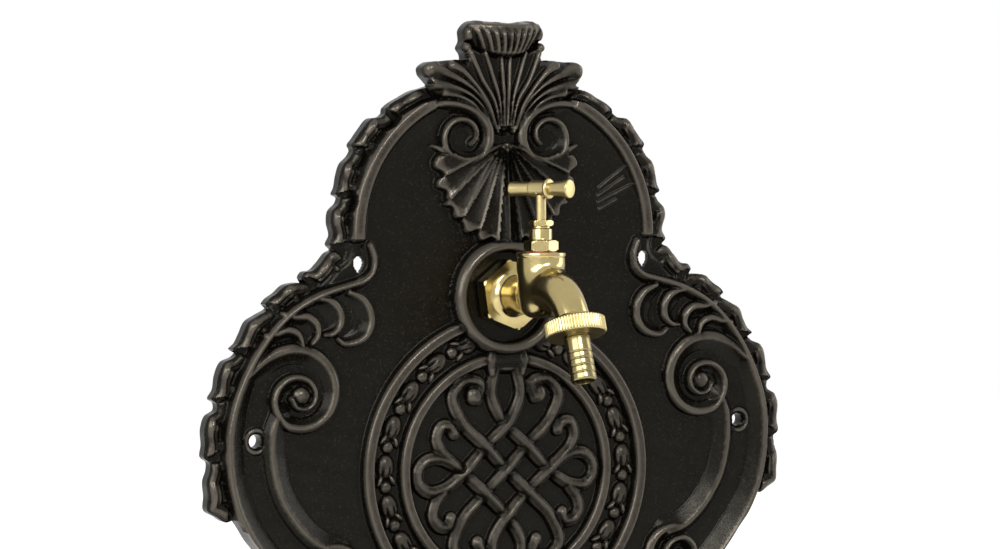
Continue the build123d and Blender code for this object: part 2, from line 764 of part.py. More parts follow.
with BuildPart() as bonnet:
    with BuildSketch(Plane.XY.offset(bonnet_foot_z)):
        with Locations(barrel_place):
            RegularPolygon(bonnet_flats / 2, 6, major_radius=False)
    extrude(amount=bonnet_hex_height)
    for bottom_z, top_z, radius in (
        (bonnet_skirt_z, bonnet_foot_z, chamber_radius - thread_clearance),
        (bonnet_hex_top_z, bonnet_neck_top_z, bonnet_neck_radius),
    ):
        with BuildSketch(Plane.XY.offset(bottom_z)):
            with Locations(barrel_place):
                Circle(radius)
        extrude(amount=top_z - bottom_z)
    for bottom_z, top_z, radius in (
        (bonnet_skirt_z, spindle_stop_z + spindle_stop_room, spindle_bore),
        (spindle_stop_z + spindle_stop_room, gland_floor_z, stem_bore),
        (gland_floor_z, bonnet_neck_top_z, gland_chamber_radius),
    ):
        with BuildSketch(Plane.XY.offset(bottom_z)):
            with Locations(barrel_place):
                Circle(radius)
        extrude(amount=top_z - bottom_z, mode=Mode.SUBTRACT)
bonnet.part.label = "bonnet"

packing_top_z = gland_floor_z + packing_height
gland_packing = ring(gland_floor_z, packing_top_z, gland_chamber_radius - thread_clearance, stem_bore)
gland_packing.part.label = "gland_packing"

with BuildPart() as gland_nut:
    with BuildSketch(Plane.XY.offset(bonnet_neck_top_z)):
        with Locations(barrel_place):
            RegularPolygon(gland_nut_flats / 2, 6, major_radius=False)
    extrude(amount=gland_nut_height)
    with BuildSketch(Plane.XY.offset(bonnet_neck_top_z)):
        with Locations(barrel_place):
            Circle(gland_chamber_radius - thread_clearance)
    extrude(amount=-gland_nose)
    with BuildSketch(Plane.XY.offset(bonnet_neck_top_z - gland_nose)):
        with Locations(barrel_place):
            Circle(stem_bore)
    extrude(amount=gland_nose + gland_nut_height, mode=Mode.SUBTRACT)
gland_nut.part.label = "gland_nut"

# Jumper valve: washer on the seat, plate with its stem above and stud below, and nut under the washer
jumper_z = seat_z + seat_washer_height
jumper_top_z = jumper_z + jumper_height
jumper_nut_z = seat_z - jumper_nut_height
socket_clearance = running_clearance

with BuildPart() as jumper:
    for bottom_z, top_z, radius in (
        (jumper_nut_z, jumper_z, jumper_stud_radius), (jumper_z, jumper_top_z, jumper_radius),
        (jumper_top_z, jumper_top_z + jumper_stem_length, jumper_stem_radius),
    ):
        with BuildSketch(Plane.XY.offset(bottom_z)):
            with Locations(barrel_place):
                Circle(radius)
        extrude(amount=top_z - bottom_z)
jumper.part.label = "jumper"

jumper_washer = ring(seat_z, jumper_z, seat_washer_radius, jumper_stud_radius + thread_clearance)
jumper_washer.part.label = "jumper_washer"

with BuildPart() as jumper_nut:
    with BuildSketch(Plane.XY.offset(jumper_nut_z)):
        with Locations(barrel_place):
            RegularPolygon(jumper_nut_flats / 2, 6, major_radius=False)
            Circle(jumper_stud_radius + thread_clearance, mode=Mode.SUBTRACT)
    extrude(amount=jumper_nut_height)
jumper_nut.part.label = "jumper_nut"

# Spindle with a socket for the jumper's stem, and the T handle pinned on its top
handle_way = Vector(cos(radians(handle_angle)), sin(radians(handle_angle)))
handle_across = Vector(-handle_way.Y, handle_way.X)
handle_middle = Vector(0, -spindle_reach, handle_z)
pin_middle = handle_middle - Vector(0, 0, pin_drop)
pin_half_length = (hub_radius ** 2 - pin_drop ** 2) ** 0.5
spindle_top_z = handle_z - hub_radius + hub_socket_depth
spindle_foot_z = jumper_top_z + running_clearance
pin_plane = Plane(origin=pin_middle - handle_across * pin_half_length, x_dir=(0, 0, 1), z_dir=handle_across)

with BuildPart() as spindle:
    for bottom_z, top_z, radius in (
        (spindle_foot_z, spindle_stop_z, spindle_thread_radius),
        (spindle_stop_z, spindle_top_z, spindle_stem_radius),
    ):
        with BuildSketch(Plane.XY.offset(bottom_z)):
            with Locations(barrel_place):
                Circle(radius)
        extrude(amount=top_z - bottom_z)
    with BuildSketch(Plane.XY.offset(spindle_foot_z)):
        with Locations(barrel_place):
            Circle(jumper_stem_radius + socket_clearance)
    extrude(amount=jumper_stem_length + socket_clearance, mode=Mode.SUBTRACT)
    with BuildSketch(pin_plane):
        Circle(pin_radius)
    extrude(amount=2 * pin_half_length, mode=Mode.SUBTRACT)
spindle.part.label = "spindle"

with BuildPart() as handle_hub:
    hub_end = handle_middle - handle_way * (hub_length / 2)
    with BuildSketch(Plane(origin=hub_end, x_dir=(0, 0, 1), z_dir=handle_way)):
        Circle(hub_radius)
    extrude(amount=hub_length)
    for side in (1, -1):
        end = handle_middle + handle_way * (side * hub_length / 2)
        with BuildSketch(Plane(origin=end, x_dir=(0, 0, 1), z_dir=handle_way * -side)):
            Circle(arm_spigot_radius + pin_clearance)
        extrude(amount=arm_spigot_length, mode=Mode.SUBTRACT)
    with BuildSketch(Plane.XY.offset(handle_z - hub_radius)):
        with Locations(barrel_place):
            Circle(spindle_stem_radius + pin_clearance)
    extrude(amount=hub_socket_depth, mode=Mode.SUBTRACT)
    with BuildSketch(pin_plane):
        Circle(pin_radius)
    extrude(amount=2 * pin_half_length, mode=Mode.SUBTRACT)
handle_hub.part.label = "handle_hub"

with BuildPart() as handle_arms:
    for side, arm_radii in ((1, near_arm_radii), (-1, far_arm_radii)):
        way = handle_way * side
        with BuildSketch(Plane(origin=handle_middle, x_dir=way, z_dir=way.cross(Vector(0, 0, 1)))):
            with BuildLine():
                root = hub_length / 2
                end = root + arm_length
                Polyline(
                    (root - arm_spigot_length, 0), (root - arm_spigot_length, arm_spigot_radius),
                    (root, arm_spigot_radius), (root, arm_radii[0]), (end - arm_end_chamfer, arm_radii[1]),
                    (end, arm_radii[1] - arm_end_chamfer), (end, 0), close=True,
                )
            make_face()
        revolve(axis=Axis(handle_middle, way))
handle_arms.part.label = "handle_arms"

with BuildPart() as handle_pin:
    with BuildSketch(pin_plane):
        Circle(pin_radius - pin_clearance)
    extrude(amount=2 * pin_half_length)
handle_pin.part.label = "handle_pin"

# Hose union: knurled ring, flat washer and barbed tail, along the outlet's axis from the spout's end
union_end = union_height / 2
union_lip_face = union_end - union_lip
tail_face = outlet_face + union_washer_height
tail_end = union_end + tail_length

with BuildPart() as union_nut:
    with BuildSketch(outlet.offset(-union_end)):
        Circle(union_radius)
        with PolarLocations(union_radius, union_flute_count):
            Circle(union_flute_radius, mode=Mode.SUBTRACT)
    extrude(amount=union_height)
    with BuildSketch(outlet.offset(-union_end)):
        Circle(outlet_radius + thread_clearance)
    extrude(amount=union_height - union_lip, mode=Mode.SUBTRACT)
    with BuildSketch(outlet.offset(union_lip_face)):
        Circle(tail_radius + union_lip_clearance)
    extrude(amount=union_lip, mode=Mode.SUBTRACT)
union_nut.part.label = "union_nut"

with BuildPart() as union_washer:
    with BuildSketch(outlet.offset(outlet_face)):
        Circle(tail_flange_radius)
        Circle(tail_bore, mode=Mode.SUBTRACT)
    extrude(amount=union_washer_height)
union_washer.part.label = "union_washer"

with BuildPart() as hose_tail:
    with BuildSketch(outlet_profile):
        with BuildLine():
            barbs = []
            for i in range(barb_count, 0, -1):
                barb_z = tail_end - i * barb_pitch
                barbs += [(tail_radius, barb_z), (tail_radius + barb_rise, barb_z)]
            Polyline(
                (tail_bore, tail_face), (tail_flange_radius, tail_face),
                (tail_flange_radius, union_lip_face - union_seat_clearance),
                (tail_radius, union_lip_face - union_seat_clearance), *barbs,
                (tail_radius, tail_end), (tail_bore, tail_end), close=True,
            )
        make_face()
    revolve(axis=outlet_axis)
hose_tail.part.label = "hose_tail"

pieces = [
    back_plate, basin, basin_bolts, basin_washers, basin_nuts, waste_strainer, waste_seal, waste_locknut,
    tap_body, wall_washer, tap_backnut, bonnet, bonnet_gasket, gland_packing, gland_nut, spindle,
    jumper, jumper_washer, jumper_nut, handle_hub, handle_arms, handle_pin, union_nut, union_washer,
    hose_tail,
]
os.makedirs("parts", exist_ok=True)
for piece in pieces:
    export_step(piece.part, f"parts/{piece.part.label}.step")
print(len(pieces), "pieces written")
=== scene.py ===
# %% [markdown]
# # A cast-iron wall fountain with a brass tap
#
# The fountain hangs on a wall: a hollow-backed iron plate full of scrolls and leaves, a half-round basin
# under it, and a polished brass bib tap in a round boss in the middle. The measured CAD model comes in
# first as a fixed frame. Every piece made below lies in that frame, and moves with one of its bodies.

import bmesh
import bpy
import numpy as np
from mathutils import Matrix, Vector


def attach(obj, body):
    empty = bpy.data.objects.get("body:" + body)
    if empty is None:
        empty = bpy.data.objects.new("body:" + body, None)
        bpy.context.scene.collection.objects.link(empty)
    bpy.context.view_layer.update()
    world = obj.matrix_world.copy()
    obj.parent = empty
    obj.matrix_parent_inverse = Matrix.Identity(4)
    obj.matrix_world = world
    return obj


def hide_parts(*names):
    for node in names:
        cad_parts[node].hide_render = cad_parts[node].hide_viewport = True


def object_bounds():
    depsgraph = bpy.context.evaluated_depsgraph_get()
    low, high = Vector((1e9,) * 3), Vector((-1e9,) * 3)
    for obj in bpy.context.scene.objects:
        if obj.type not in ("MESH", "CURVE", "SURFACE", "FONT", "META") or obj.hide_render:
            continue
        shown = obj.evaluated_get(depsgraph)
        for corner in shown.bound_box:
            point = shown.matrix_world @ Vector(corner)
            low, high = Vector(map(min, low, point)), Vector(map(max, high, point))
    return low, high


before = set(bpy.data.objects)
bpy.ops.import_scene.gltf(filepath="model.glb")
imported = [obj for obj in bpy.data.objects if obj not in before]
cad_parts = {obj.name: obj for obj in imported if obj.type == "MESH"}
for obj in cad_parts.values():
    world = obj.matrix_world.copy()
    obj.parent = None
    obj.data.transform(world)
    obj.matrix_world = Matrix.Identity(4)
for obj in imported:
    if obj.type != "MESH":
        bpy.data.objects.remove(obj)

MM = 0.001
cad_box = [list(corner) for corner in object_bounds()]

# %% [markdown]
# ## Camera
#
# The photograph was taken a little from the left with a long lens. Its place was found by fitting known
# points of the plate, so it is written here as a distance, a height and three small angles. A long lens
# could also be faked by moving the camera away without limit, but then the tap would lose the slight
# spread it has in the photograph.

# %% Camera
picture_width, focal_length = 1000, 3285
yaw, pitch, roll_angle = np.radians([26, -1.88, -0.40])
camera_distance, camera_height, camera_shift = 2024, 79.7, 2.49

level = np.array([np.cos(yaw), -np.sin(yaw), 0])
forward = np.array([np.sin(yaw) * np.cos(pitch), np.cos(yaw) * np.cos(pitch), np.sin(pitch)])
upward = np.cross(level, forward)
camera_x = np.cos(roll_angle) * level + np.sin(roll_angle) * upward
camera_y = np.cos(roll_angle) * upward - np.sin(roll_angle) * level
away = camera_distance * np.array([np.sin(yaw), np.cos(yaw), 0])
camera_at = np.array([camera_shift, 0, camera_height]) - away

lens = bpy.data.cameras.new("camera")
lens.sensor_fit, lens.sensor_width = "HORIZONTAL", 36
lens.lens = lens.sensor_width * focal_length / picture_width
lens.clip_end = 50
camera = bpy.data.objects.new("camera", lens)
placed = np.eye(4)
placed[:3] = np.column_stack([camera_x, camera_y, -forward, camera_at * MM])
camera.matrix_world = Matrix(placed.tolist())
bpy.context.scene.collection.objects.link(camera)
bpy.context.scene.camera = camera
bpy.context.scene.view_settings.view_transform = "Standard"
print("camera", camera_at * MM, "lens", lens.lens)

# %% [markdown]
# ## Putting numpy shapes into meshes
#
# A shape here is first an array of points in millimetres and an array of faces that name those points.
# Blender's operators could add primitives instead, but with arrays each piece stays one formula that can
# be read and changed. A grid of points needs the same list of four-sided faces whatever its shape, so one
# helper makes that list.


# %% Mesh helpers
def grid_faces(rows, columns, wrap_rows=False, wrap_columns=False):
    """Quads of a grid of rows x columns points numbered row by row; a wrapped direction joins its end to
    its start."""
    number = np.arange(rows * columns).reshape(rows, columns)
    if wrap_rows:
        number = np.vstack([number, number[:1]])
    if wrap_columns:
        number = np.hstack([number, number[:, :1]])
    a, b, c, d = number[:-1, :-1], number[1:, :-1], number[1:, 1:], number[:-1, 1:]
    return np.stack([a, b, c, d], -1).reshape(-1, 4)


def put_mesh(name, points, *face_sets):
    """A mesh from points in millimetres and arrays of faces, each array with its own number of
    corners."""
    face_sets = [np.asarray(f) for f in face_sets if len(f)]
    corners = np.concatenate([f.ravel() for f in face_sets])
    sizes = np.concatenate([np.full(len(f), f.shape[1]) for f in face_sets])
    mesh = bpy.data.meshes.new(name)
    mesh.vertices.add(len(points))
    mesh.vertices.foreach_set("co", (np.asarray(points, float) * MM).ravel())
    mesh.loops.add(len(corners))
    mesh.loops.foreach_set("vertex_index", corners.astype(np.int32))
    mesh.polygons.add(len(sizes))
    mesh.polygons.foreach_set("loop_start", np.r_[0, np.cumsum(sizes)[:-1]].astype(np.int32))
    mesh.update(calc_edges=True)
    mesh.validate()
    return mesh


def piece(mesh, finish, body="fountain", nodes=(), crease=40):
    """An object of a finished mesh: smooth but for edges sharper than crease degrees, on its body, for
    its nodes."""
    mesh.polygons.foreach_set("use_smooth", np.ones(len(mesh.polygons), bool))
    mesh.set_sharp_from_angle(angle=np.radians(crease))
    mesh.materials.append(finish)
    made = bpy.data.objects.new(mesh.name, mesh)
    bpy.context.scene.collection.objects.link(made)
    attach(made, body)
    if nodes:
        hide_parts(*nodes)
    mesh.calc_loop_triangles()
    print(f"{mesh.name}: {len(mesh.loop_triangles)} triangles, rides {body}")


# %% [markdown]
# ## Finishes
#
# A finish is a small sum of patterns: colour from cloudy noise, roughness from grain, a fine bump. Wiring
# that by hand in the shader editor is slow to read back, so a small class lets a pattern be written as an
# expression. The iron is black paint on a sand-cast skin, rubbed pale along every raised edge, and that
# pale is made brighter as a painted highlight, while the hollows are made darker as painted shade. Both
# follow the shape, so the casting stores a number per point: high on edges, low in hollows.


# %% A class for shader expressions
class Wire:
    """A value that runs through a material's nodes; arithmetic on it adds Math nodes."""

    def __init__(self, tree, socket=None):
        self.tree, self.socket = tree, socket

    def node(self, kind, settings=None, sockets=None, out=0):
        """A node of that kind, with its settings made first, then values or links put on its sockets."""
        made = self.tree.nodes.new("ShaderNode" + kind)
        for key, value in (settings or {}).items():
            setattr(made, key, value)
        for key, value in (sockets or {}).items():
            if isinstance(value, Wire):
                self.tree.links.new(value.socket, made.inputs[key])
            else:
                made.inputs[key].default_value = value
        return Wire(self.tree, made.outputs[out])

    def math(self, operation, *values):
        """A Math node with the values on its sockets in turn."""
        return self.node("Math", {"operation": operation}, dict(enumerate(values)))

    def __add__(self, other):
        return self.math("ADD", self, other)

    def __sub__(self, other):
        return self.math("SUBTRACT", self, other)

    def __rsub__(self, other):
        return self.math("SUBTRACT", other, self)

    def __mul__(self, other):
        return self.math("MULTIPLY", self, other)

    __radd__, __rmul__ = __add__, __mul__

    def between(self, low, high):
        """0 below low, 1 above high, straight between."""
        return self.node("MapRange", {"clamp": True}, {0: self, 1: low, 2: high, 3: 0.0, 4: 1.0})

    def blend(self, first, second):
        """The first colour where this is 0, the second where it is 1."""
        return self.node("Mix", {"data_type": "RGBA"}, {0: self, 6: first, 7: second}, out=2)


# %% Starting a finish
def finish_tree(name):
    """A new material's node tree, a Wire to start from, and a function that sets its shader's sockets."""
    material = bpy.data.materials.new(name)
    material.use_nodes = True
    tree = material.node_tree
    shader = tree.nodes["Principled BSDF"]

    def surface(**sockets):
        """Sets sockets by name, base_color for Base Color: a link from a Wire, else a plain value."""
        for key, value in sockets.items():
            target = shader.inputs[key.replace("_", " ").title().replace("Ior", "IOR")]
            if isinstance(value, Wire):
                tree.links.new(value.socket, target)
            else:
                target.default_value = value

    return material, Wire(tree), surface


def noise(place, scale, detail, roughness):
    """Cloudy noise at a place, about 0.5 on the mean; scale counts its clouds to the metre."""
    sockets = {"Vector": place, "Scale": scale, "Detail": detail, "Roughness": roughness}
    return place.node("TexNoise", sockets=sockets)


# %% Cast iron
def iron_finish(name, worn_and_shaded=True):
    """Near-black paint on cast iron, cloudy brown-black with sand grain. By the stored number it is paler and
    smoother on crests, partly from real wear and partly as a painted highlight, with pale flecks as painted
    glints, and darker in hollows as painted shade."""
    material, wire, surface = finish_tree(name)
    place = wire.node("TexCoord", out=3)
    cloud = noise(place, 45.0, 5.0, 0.65)
    grain = noise(place, 1100.0, 3.0, 0.6)
    skin = noise(place, 420.0, 4.0, 0.7)
    fleck_and_glint = noise(place, 800.0, 2.0, 0.5).between(0.60, 0.72)
    paint = cloud.between(0.3, 0.7).blend((0.0030, 0.0025, 0.0017, 1), (0.0056, 0.0047, 0.0032, 1))
    if worn_and_shaded:
        wear_and_shading = wire.node("Attribute", {"attribute_name": "wear_and_shading"}, out=2)
        # Pale crests: partly real rubbed wear, partly a painted highlight; the pale flecks are painted
        # glints.
        pale_and_highlight = (wear_and_shading + (skin - 0.5) * 0.45).between(0.62, 0.98) + fleck_and_glint * 0.18
        # Darker hollows: painted shade, a darker paint where the relief sinks below its surroundings.
        hollow = (0.5 - wear_and_shading + (cloud - 0.5) * 0.2).between(0.02, 0.3)
        paint = hollow.blend(paint, (0.0024, 0.0020, 0.0014, 1))
    else:
        pale_and_highlight = (skin * 0.5 + cloud * 0.5).between(0.62, 0.75) * 0.4
    # The pale colour of worn iron, made brighter so that it also serves as a painted highlight.
    colour = pale_and_highlight.blend(paint, (0.072, 0.063, 0.051, 1))
    height = grain * 0.5 + skin + fleck_and_glint * 0.6
    bump = wire.node("Bump", sockets={"Strength": 0.26, "Distance": 0.0004, "Height": height})
    surface(base_color=colour, roughness=0.23 + (grain - 0.5) * 0.3 - pale_and_highlight * 0.03, metallic=pale_and_highlight * 0.5,
            normal=bump, specular_ior_level=0.10, specular_tint=(1.0, 0.94, 0.81, 1))
    return material


iron = iron_finish("cast_iron_relief")
plain_iron = iron_finish("cast_iron_plain", worn_and_shaded=False)


# %% [markdown]
# ## Brass, steel and washers
#
# Brass that is handled keeps two close tones and a web of fine scratches, which on turned parts run round
# the axis. One flat metal colour would look like plastic film, and a photograph of brass would stretch
# over the curves. So the tones are clouds of noise, and a Mapping node squeezes the noise of the scratches.


# %% Brass, steel and the soft washers
def metal_finish(name, bright, dull, roughness, streak=(1, 1, 1)):
    """Polished metal: two tones in soft clouds, fine scratches that are squeezed by streak, small
    changes of gloss."""
    material, wire, surface = finish_tree(name)
    place = wire.node("TexCoord", out=3)
    cloud = noise(place, 60.0, 4.0, 0.6)
    lines = wire.node("Mapping", sockets={"Vector": place, "Scale": streak})
    scratch = noise(lines, 500.0, 3.0, 0.7)
    colour = cloud.between(0.35, 0.75).blend(bright, dull)
    bump = wire.node("Bump", sockets={"Strength": 0.06, "Distance": 0.0002, "Height": scratch})
    surface(base_color=colour, metallic=1.0, normal=bump,
            roughness=roughness + (scratch - 0.5) * 0.12 + (cloud - 0.5) * 0.1)
    return material


def soft_finish(name, tone, deep, roughness, scale):
    """Fibre, rubber or packing: two close tones in a speckle, with the same speckle as a low bump."""
    material, wire, surface = finish_tree(name)
    place = wire.node("TexCoord", out=3)
    speck = noise(place, scale, 5.0, 0.7)
    bump = wire.node("Bump", sockets={"Strength": 0.4, "Distance": 0.0002, "Height": speck})
    surface(base_color=speck.between(0.3, 0.7).blend(deep, tone), normal=bump,
            roughness=roughness + (speck - 0.5) * 0.2)
    return material


lathe_lines = (1, 1, 9)
brass = metal_finish("brass_polished", (0.45, 0.365, 0.170, 1), (0.375, 0.300, 0.133, 1), 0.19)
turned_brass = metal_finish("brass_turned", (0.46, 0.375, 0.182, 1), (0.375, 0.305, 0.140, 1), 0.31,
                            lathe_lines)
# A darker copy of the brass for the hose tail: painted shade.
shaded_brass = metal_finish("brass_painted_shade", (0.25, 0.205, 0.098, 1), (0.20, 0.165, 0.077, 1), 0.22, lathe_lines)
steel = metal_finish("steel_zinc", (0.55, 0.55, 0.53, 1), (0.42, 0.41, 0.39, 1), 0.33)
fibre = soft_finish("fibre_red", (0.23, 0.065, 0.035, 1), (0.15, 0.04, 0.025, 1), 0.75, 700.0)
rubber = soft_finish("rubber_black", (0.03, 0.03, 0.03, 1), (0.015, 0.015, 0.015, 1), 0.6, 900.0)
packing = soft_finish("packing_pale", (0.42, 0.38, 0.30, 1), (0.28, 0.25, 0.20, 1), 0.85, 800.0)
print("materials with the frame's own", len(bpy.data.materials))

# %% [markdown]
# ## The plate's outline
#
# The plate is cast in sand, so its front is a height field: over each place on the wall there is one
# depth of iron. Its edge is a row of leaf scallops. The points below were measured on the right half; the
# left half mirrors them. A smooth line through the points could be a Blender curve, but the reliefs also
# need the distance to it at every point of a grid, so lines stay arrays.


# %% Lines and distances
def smooth_line(points, count=60):
    """A line through the points: cubic Hermite pieces whose slope at a point is the slope across its
    neighbours."""
    p = np.asarray(points, float)
    s = np.r_[0, np.cumsum(np.linalg.norm(np.diff(p, axis=0), axis=1))]
    slope = np.gradient(p, s, axis=0)
    t = np.linspace(0, s[-1], count)
    k = np.clip(np.searchsorted(s, t, "right") - 1, 0, len(s) - 2)
    h = (s[k + 1] - s[k])[:, None]
    u = (t - s[k])[:, None] / h
    return ((2 * u**3 - 3 * u**2 + 1) * p[k] + (u**3 - 2 * u**2 + u) * h * slope[k]
            + (3 * u**2 - 2 * u**3) * p[k + 1] + (u**3 - u**2) * h * slope[k + 1])


def nearest(x, z, line):
    """Distance from points to a line, how far along it the nearest place is (0 to 1), and on which side
    it lies."""
    a, v = line[:-1], np.diff(line, axis=0)
    length = np.linalg.norm(v, axis=1)
    start = np.r_[0, np.cumsum(length)]
    best, along, side = np.full(x.shape, 1e12), np.zeros(x.shape), np.zeros(x.shape)
    for i in range(len(v)):
        px, pz = x - a[i, 0], z - a[i, 1]
        u = np.clip((px * v[i, 0] + pz * v[i, 1]) / length[i] ** 2, 0, 1)
        gap = (px - u * v[i, 0]) ** 2 + (pz - u * v[i, 1]) ** 2
        closer = gap < best
        best = np.where(closer, gap, best)
        along = np.where(closer, start[i] + u * length[i], along)
        side = np.where(closer, np.sign(v[i, 0] * pz - v[i, 1] * px), side)
    return np.sqrt(best), along / start[-1], side


def edge_depth(x, z, line, reach=14.0, run=16):
    """Distance to a closed line, up to reach: below zero inside it, by how often a level ray crosses the
    line."""
    far = np.full(x.shape, reach)
    for i in range(0, len(line) - 1, run):
        part = line[i:i + run + 1]
        lo, hi = part.min(0) - reach, part.max(0) + reach
        pick = np.flatnonzero((x > lo[0]) & (x < hi[0]) & (z > lo[1]) & (z < hi[1]))
        far[pick] = np.minimum(far[pick], nearest(x[pick], z[pick], part)[0])
    odd = np.zeros(x.shape, bool)
    for (x0, z0), (x1, z1) in zip(line[:-1], line[1:]):
        if z0 != z1:
            odd ^= ((z0 > z) != (z1 > z)) & (x < x0 + (z - z0) * (x1 - x0) / (z1 - z0))
    return np.where(odd, -far, far)


# %% Outline of the plate
scallops = [
    (0, 167), (10, 168), (20, 168.5), (25.5, 163), (25.5, 156), (27.2, 152), (25, 148.5), (24.5, 145.5),
    (31, 145), (41, 144), (50, 142.8), (53.5, 139.5), (53, 136), (50, 132.5), (47.5, 129.5),
    (51, 128), (58.5, 126), (66.5, 122), (75, 117), (77, 115), (77.5, 112.3),
    (79.5, 110.5), (87, 109), (92.5, 103), (97, 97), (99.8, 93), (98.5, 90.2),
    (100, 87), (105, 82), (107.5, 75), (109, 67.5), (110.5, 63.8), (107.3, 61.5),
    (108, 59), (113, 53.5), (113.8, 47), (112.3, 39), (114.5, 33.5), (112, 30.5),
    (115, 29), (121, 22.5), (125.5, 18.5), (131, 17.3), (132.8, 14), (130, 11.5),
    (136.5, 11.3), (143, 10), (149, 5.2), (155, 1), (156.3, -1), (154, -2.8),
    (161, -7.5), (167, -11), (171, -18.5), (174, -24), (177.3, -27.3), (173.5, -29),
    (175, -31), (183, -35), (186.5, -42.5), (188, -51), (190.8, -56.5), (188, -58.5),
    (187.5, -62.5), (193, -66.5), (195.5, -73.5), (195.3, -83.5), (195.8, -91), (192.5, -93.7),
    (192.5, -98.5), (194.5, -104.5), (194, -114), (194, -122.5), (188.5, -126), (182.5, -129.5),
    (177, -128.5),
    (175, -131), (168, -142), (163.5, -147.5), (154, -160), (136, -180), (117, -199),
]
apron_centre_z, apron_radius = -190, 136
apron_angle = np.radians(np.linspace(-13, -90, 40))
apron_x, apron_z = apron_radius * np.cos(apron_angle), apron_centre_z + apron_radius * np.sin(apron_angle)
scallop_count = 760
half_edge = np.vstack([smooth_line(scallops, scallop_count), np.column_stack([apron_x, apron_z])])
outline = np.vstack([half_edge, half_edge[-2::-1] * (-1, 1)])
hanging_hole = smooth_line([
    (97, 27.3), (100.1, 26), (101.3, 23), (100.6, 20), (98.8, 16.8), (97.2, 14.6), (95.3, 16.8), (93.4, 20),
    (92.7, 23), (93.9, 26), (97, 27.3)])
screw_hole, screw_radius, shank_hole = (164.5, -82), 4.25, 10.7
medallion_z, medallion_radius = -106, 98.5
print("outline", len(outline), "points, box", outline.min(0), outline.max(0))

# %% [markdown]
# ## Relief: a few profiles and where they run
#
# Every ornament on the plate is a ridge, a band or a dome laid over the ground. A sculptor would model
# each one in clay on the board; here each is a line and a profile across it, and the taller of ornament
# and ground wins, with a small fillet between. Sculpting by hand would look freer, but could not be
# measured against the photograph.


# %% Profiles
def above(value):
    """The value where it is above zero, else 0."""
    return np.clip(value, 0, None)


def evenly(t, values):
    """Values spread evenly from t = 0 to t = 1, straight between them."""
    return np.interp(t, np.linspace(0, 1, len(values)), values)


def from_spot(x, z, spot):
    """Distance from a spot on the plate."""
    return np.hypot(x - spot[0], z - spot[1])


def merge(a, b, fillet=1.2):
    """The larger of two heights, with a parabola of that width where they are nearly equal."""
    near = above(fillet - np.abs(a - b)) / fillet
    return np.maximum(a, b) + near**2 * fillet / 4


def rounded(d, half, crest, drop):
    """A ridge: crest at d = 0, lower by drop at half its width on a quarter ellipse, then steeply
    down."""
    return crest - drop * (1 - np.sqrt(1 - np.clip(d / half, 0, 1) ** 2)) - 5 * above(d - half)


def flat_band(d, half, crest, slope):
    """A band: level at crest to half its width, then down at a slope."""
    return crest - slope * above(d - half)


def scoop(d, side, crest, width, drop, lip):
    """A scooped band: crest at d = 0, hollow down by drop over its width on the left of the line, and on
    the right a quarter ellipse as wide as the lip."""
    flat, lip_drop = 0.4, 4.6
    t = np.clip((d - flat) / width, 0, 1)
    hollow = crest - drop * t * (2 - t) - 2.5 * above(d - flat - width)
    return np.where(side > 0, hollow, rounded(d, lip, crest, lip_drop))


def ease(t):
    """0 to 1 in an S from t = 0 to t = 1."""
    t = np.clip(t, 0, 1)
    return t * t * (3 - 2 * t)


# %% Laying an ornament along a line
def lay(h, x, z, points, form, reach, count, fillet):
    """Heights with one ornament laid along a line: form(distance, along, side) gives its height near the
    line."""
    line = smooth_line(points, count)
    lo, hi = line.min(0) - reach, line.max(0) + reach
    pick = np.flatnonzero((x > lo[0]) & (x < hi[0]) & (z > lo[1]) & (z < hi[1]))
    if len(pick):
        h[pick] = merge(h[pick], form(*nearest(x[pick], z[pick], line)), fillet)
    return h


def ridge(h, x, z, points, halves, crests, drop, count, fillet):
    """A rounded ridge along a line, its half width and crest changing evenly between the values given."""
    def form(d, t, side):
        """The rounded profile, as wide and as high as it is that far along."""
        return rounded(d, evenly(t, halves), evenly(t, crests), drop)
    return lay(h, x, z, points, form, max(halves) + 3, count, fillet)


def scroll(h, x, z, points, widths, crests, lips, drop, count):
    """A scooped band along a line that turns to the left; width, crest and lip change evenly between the
    values."""
    def form(d, t, side):
        """The scooped profile, as wide and as high as it is that far along."""
        return scoop(d, side, evenly(t, crests), evenly(t, widths), drop, evenly(t, lips))
    return lay(h, x, z, points, form, max(widths) + 3, count, 0.6)


# %% [markdown]
# ## Ground, arch and leaves
#
# The panel sweeps up in a cove to the rim of the arch, and a chain of bean-shaped leaves follows the
# plate's edge. Each leaf could be a mesh of its own, but in a casting they grow out of one skin. So they
# are heights too: how far along the edge a place lies says which leaf it is on, and how deep inside the
# edge it lies says how high that leaf is there.

# %% Arch and leaf edge
arch_centre, arch_inner, arch_outer = (10, 39), 85.5, 91.0
ground, valley, rim_crest = 10.5, 8.8, 17.0
leaf_notches = np.array([
    (47.5, 129.5), (77.5, 112.3), (98.5, 90.2), (107.3, 61.5), (112, 30.5), (130, 11.5), (154, -2.8),
    (173.5, -29), (188, -58.5), (192.5, -93.7), (177, -128.5)])
leaf_foot, leaf_floor = 6.2, 7.6
leaf_lumps = ((0.26, 9.6, 3.0), (0.70, 9.2, 2.7))
leaf_line = half_edge[:scallop_count:4]
leaf_length = np.linalg.norm(np.diff(leaf_line, axis=0), axis=1).sum()
leaf_ends = nearest(leaf_notches[:, 0], leaf_notches[:, 1], leaf_line)[1]
print("leaves on a side", len(leaf_ends) - 1, "on", round(leaf_length), "mm of edge")


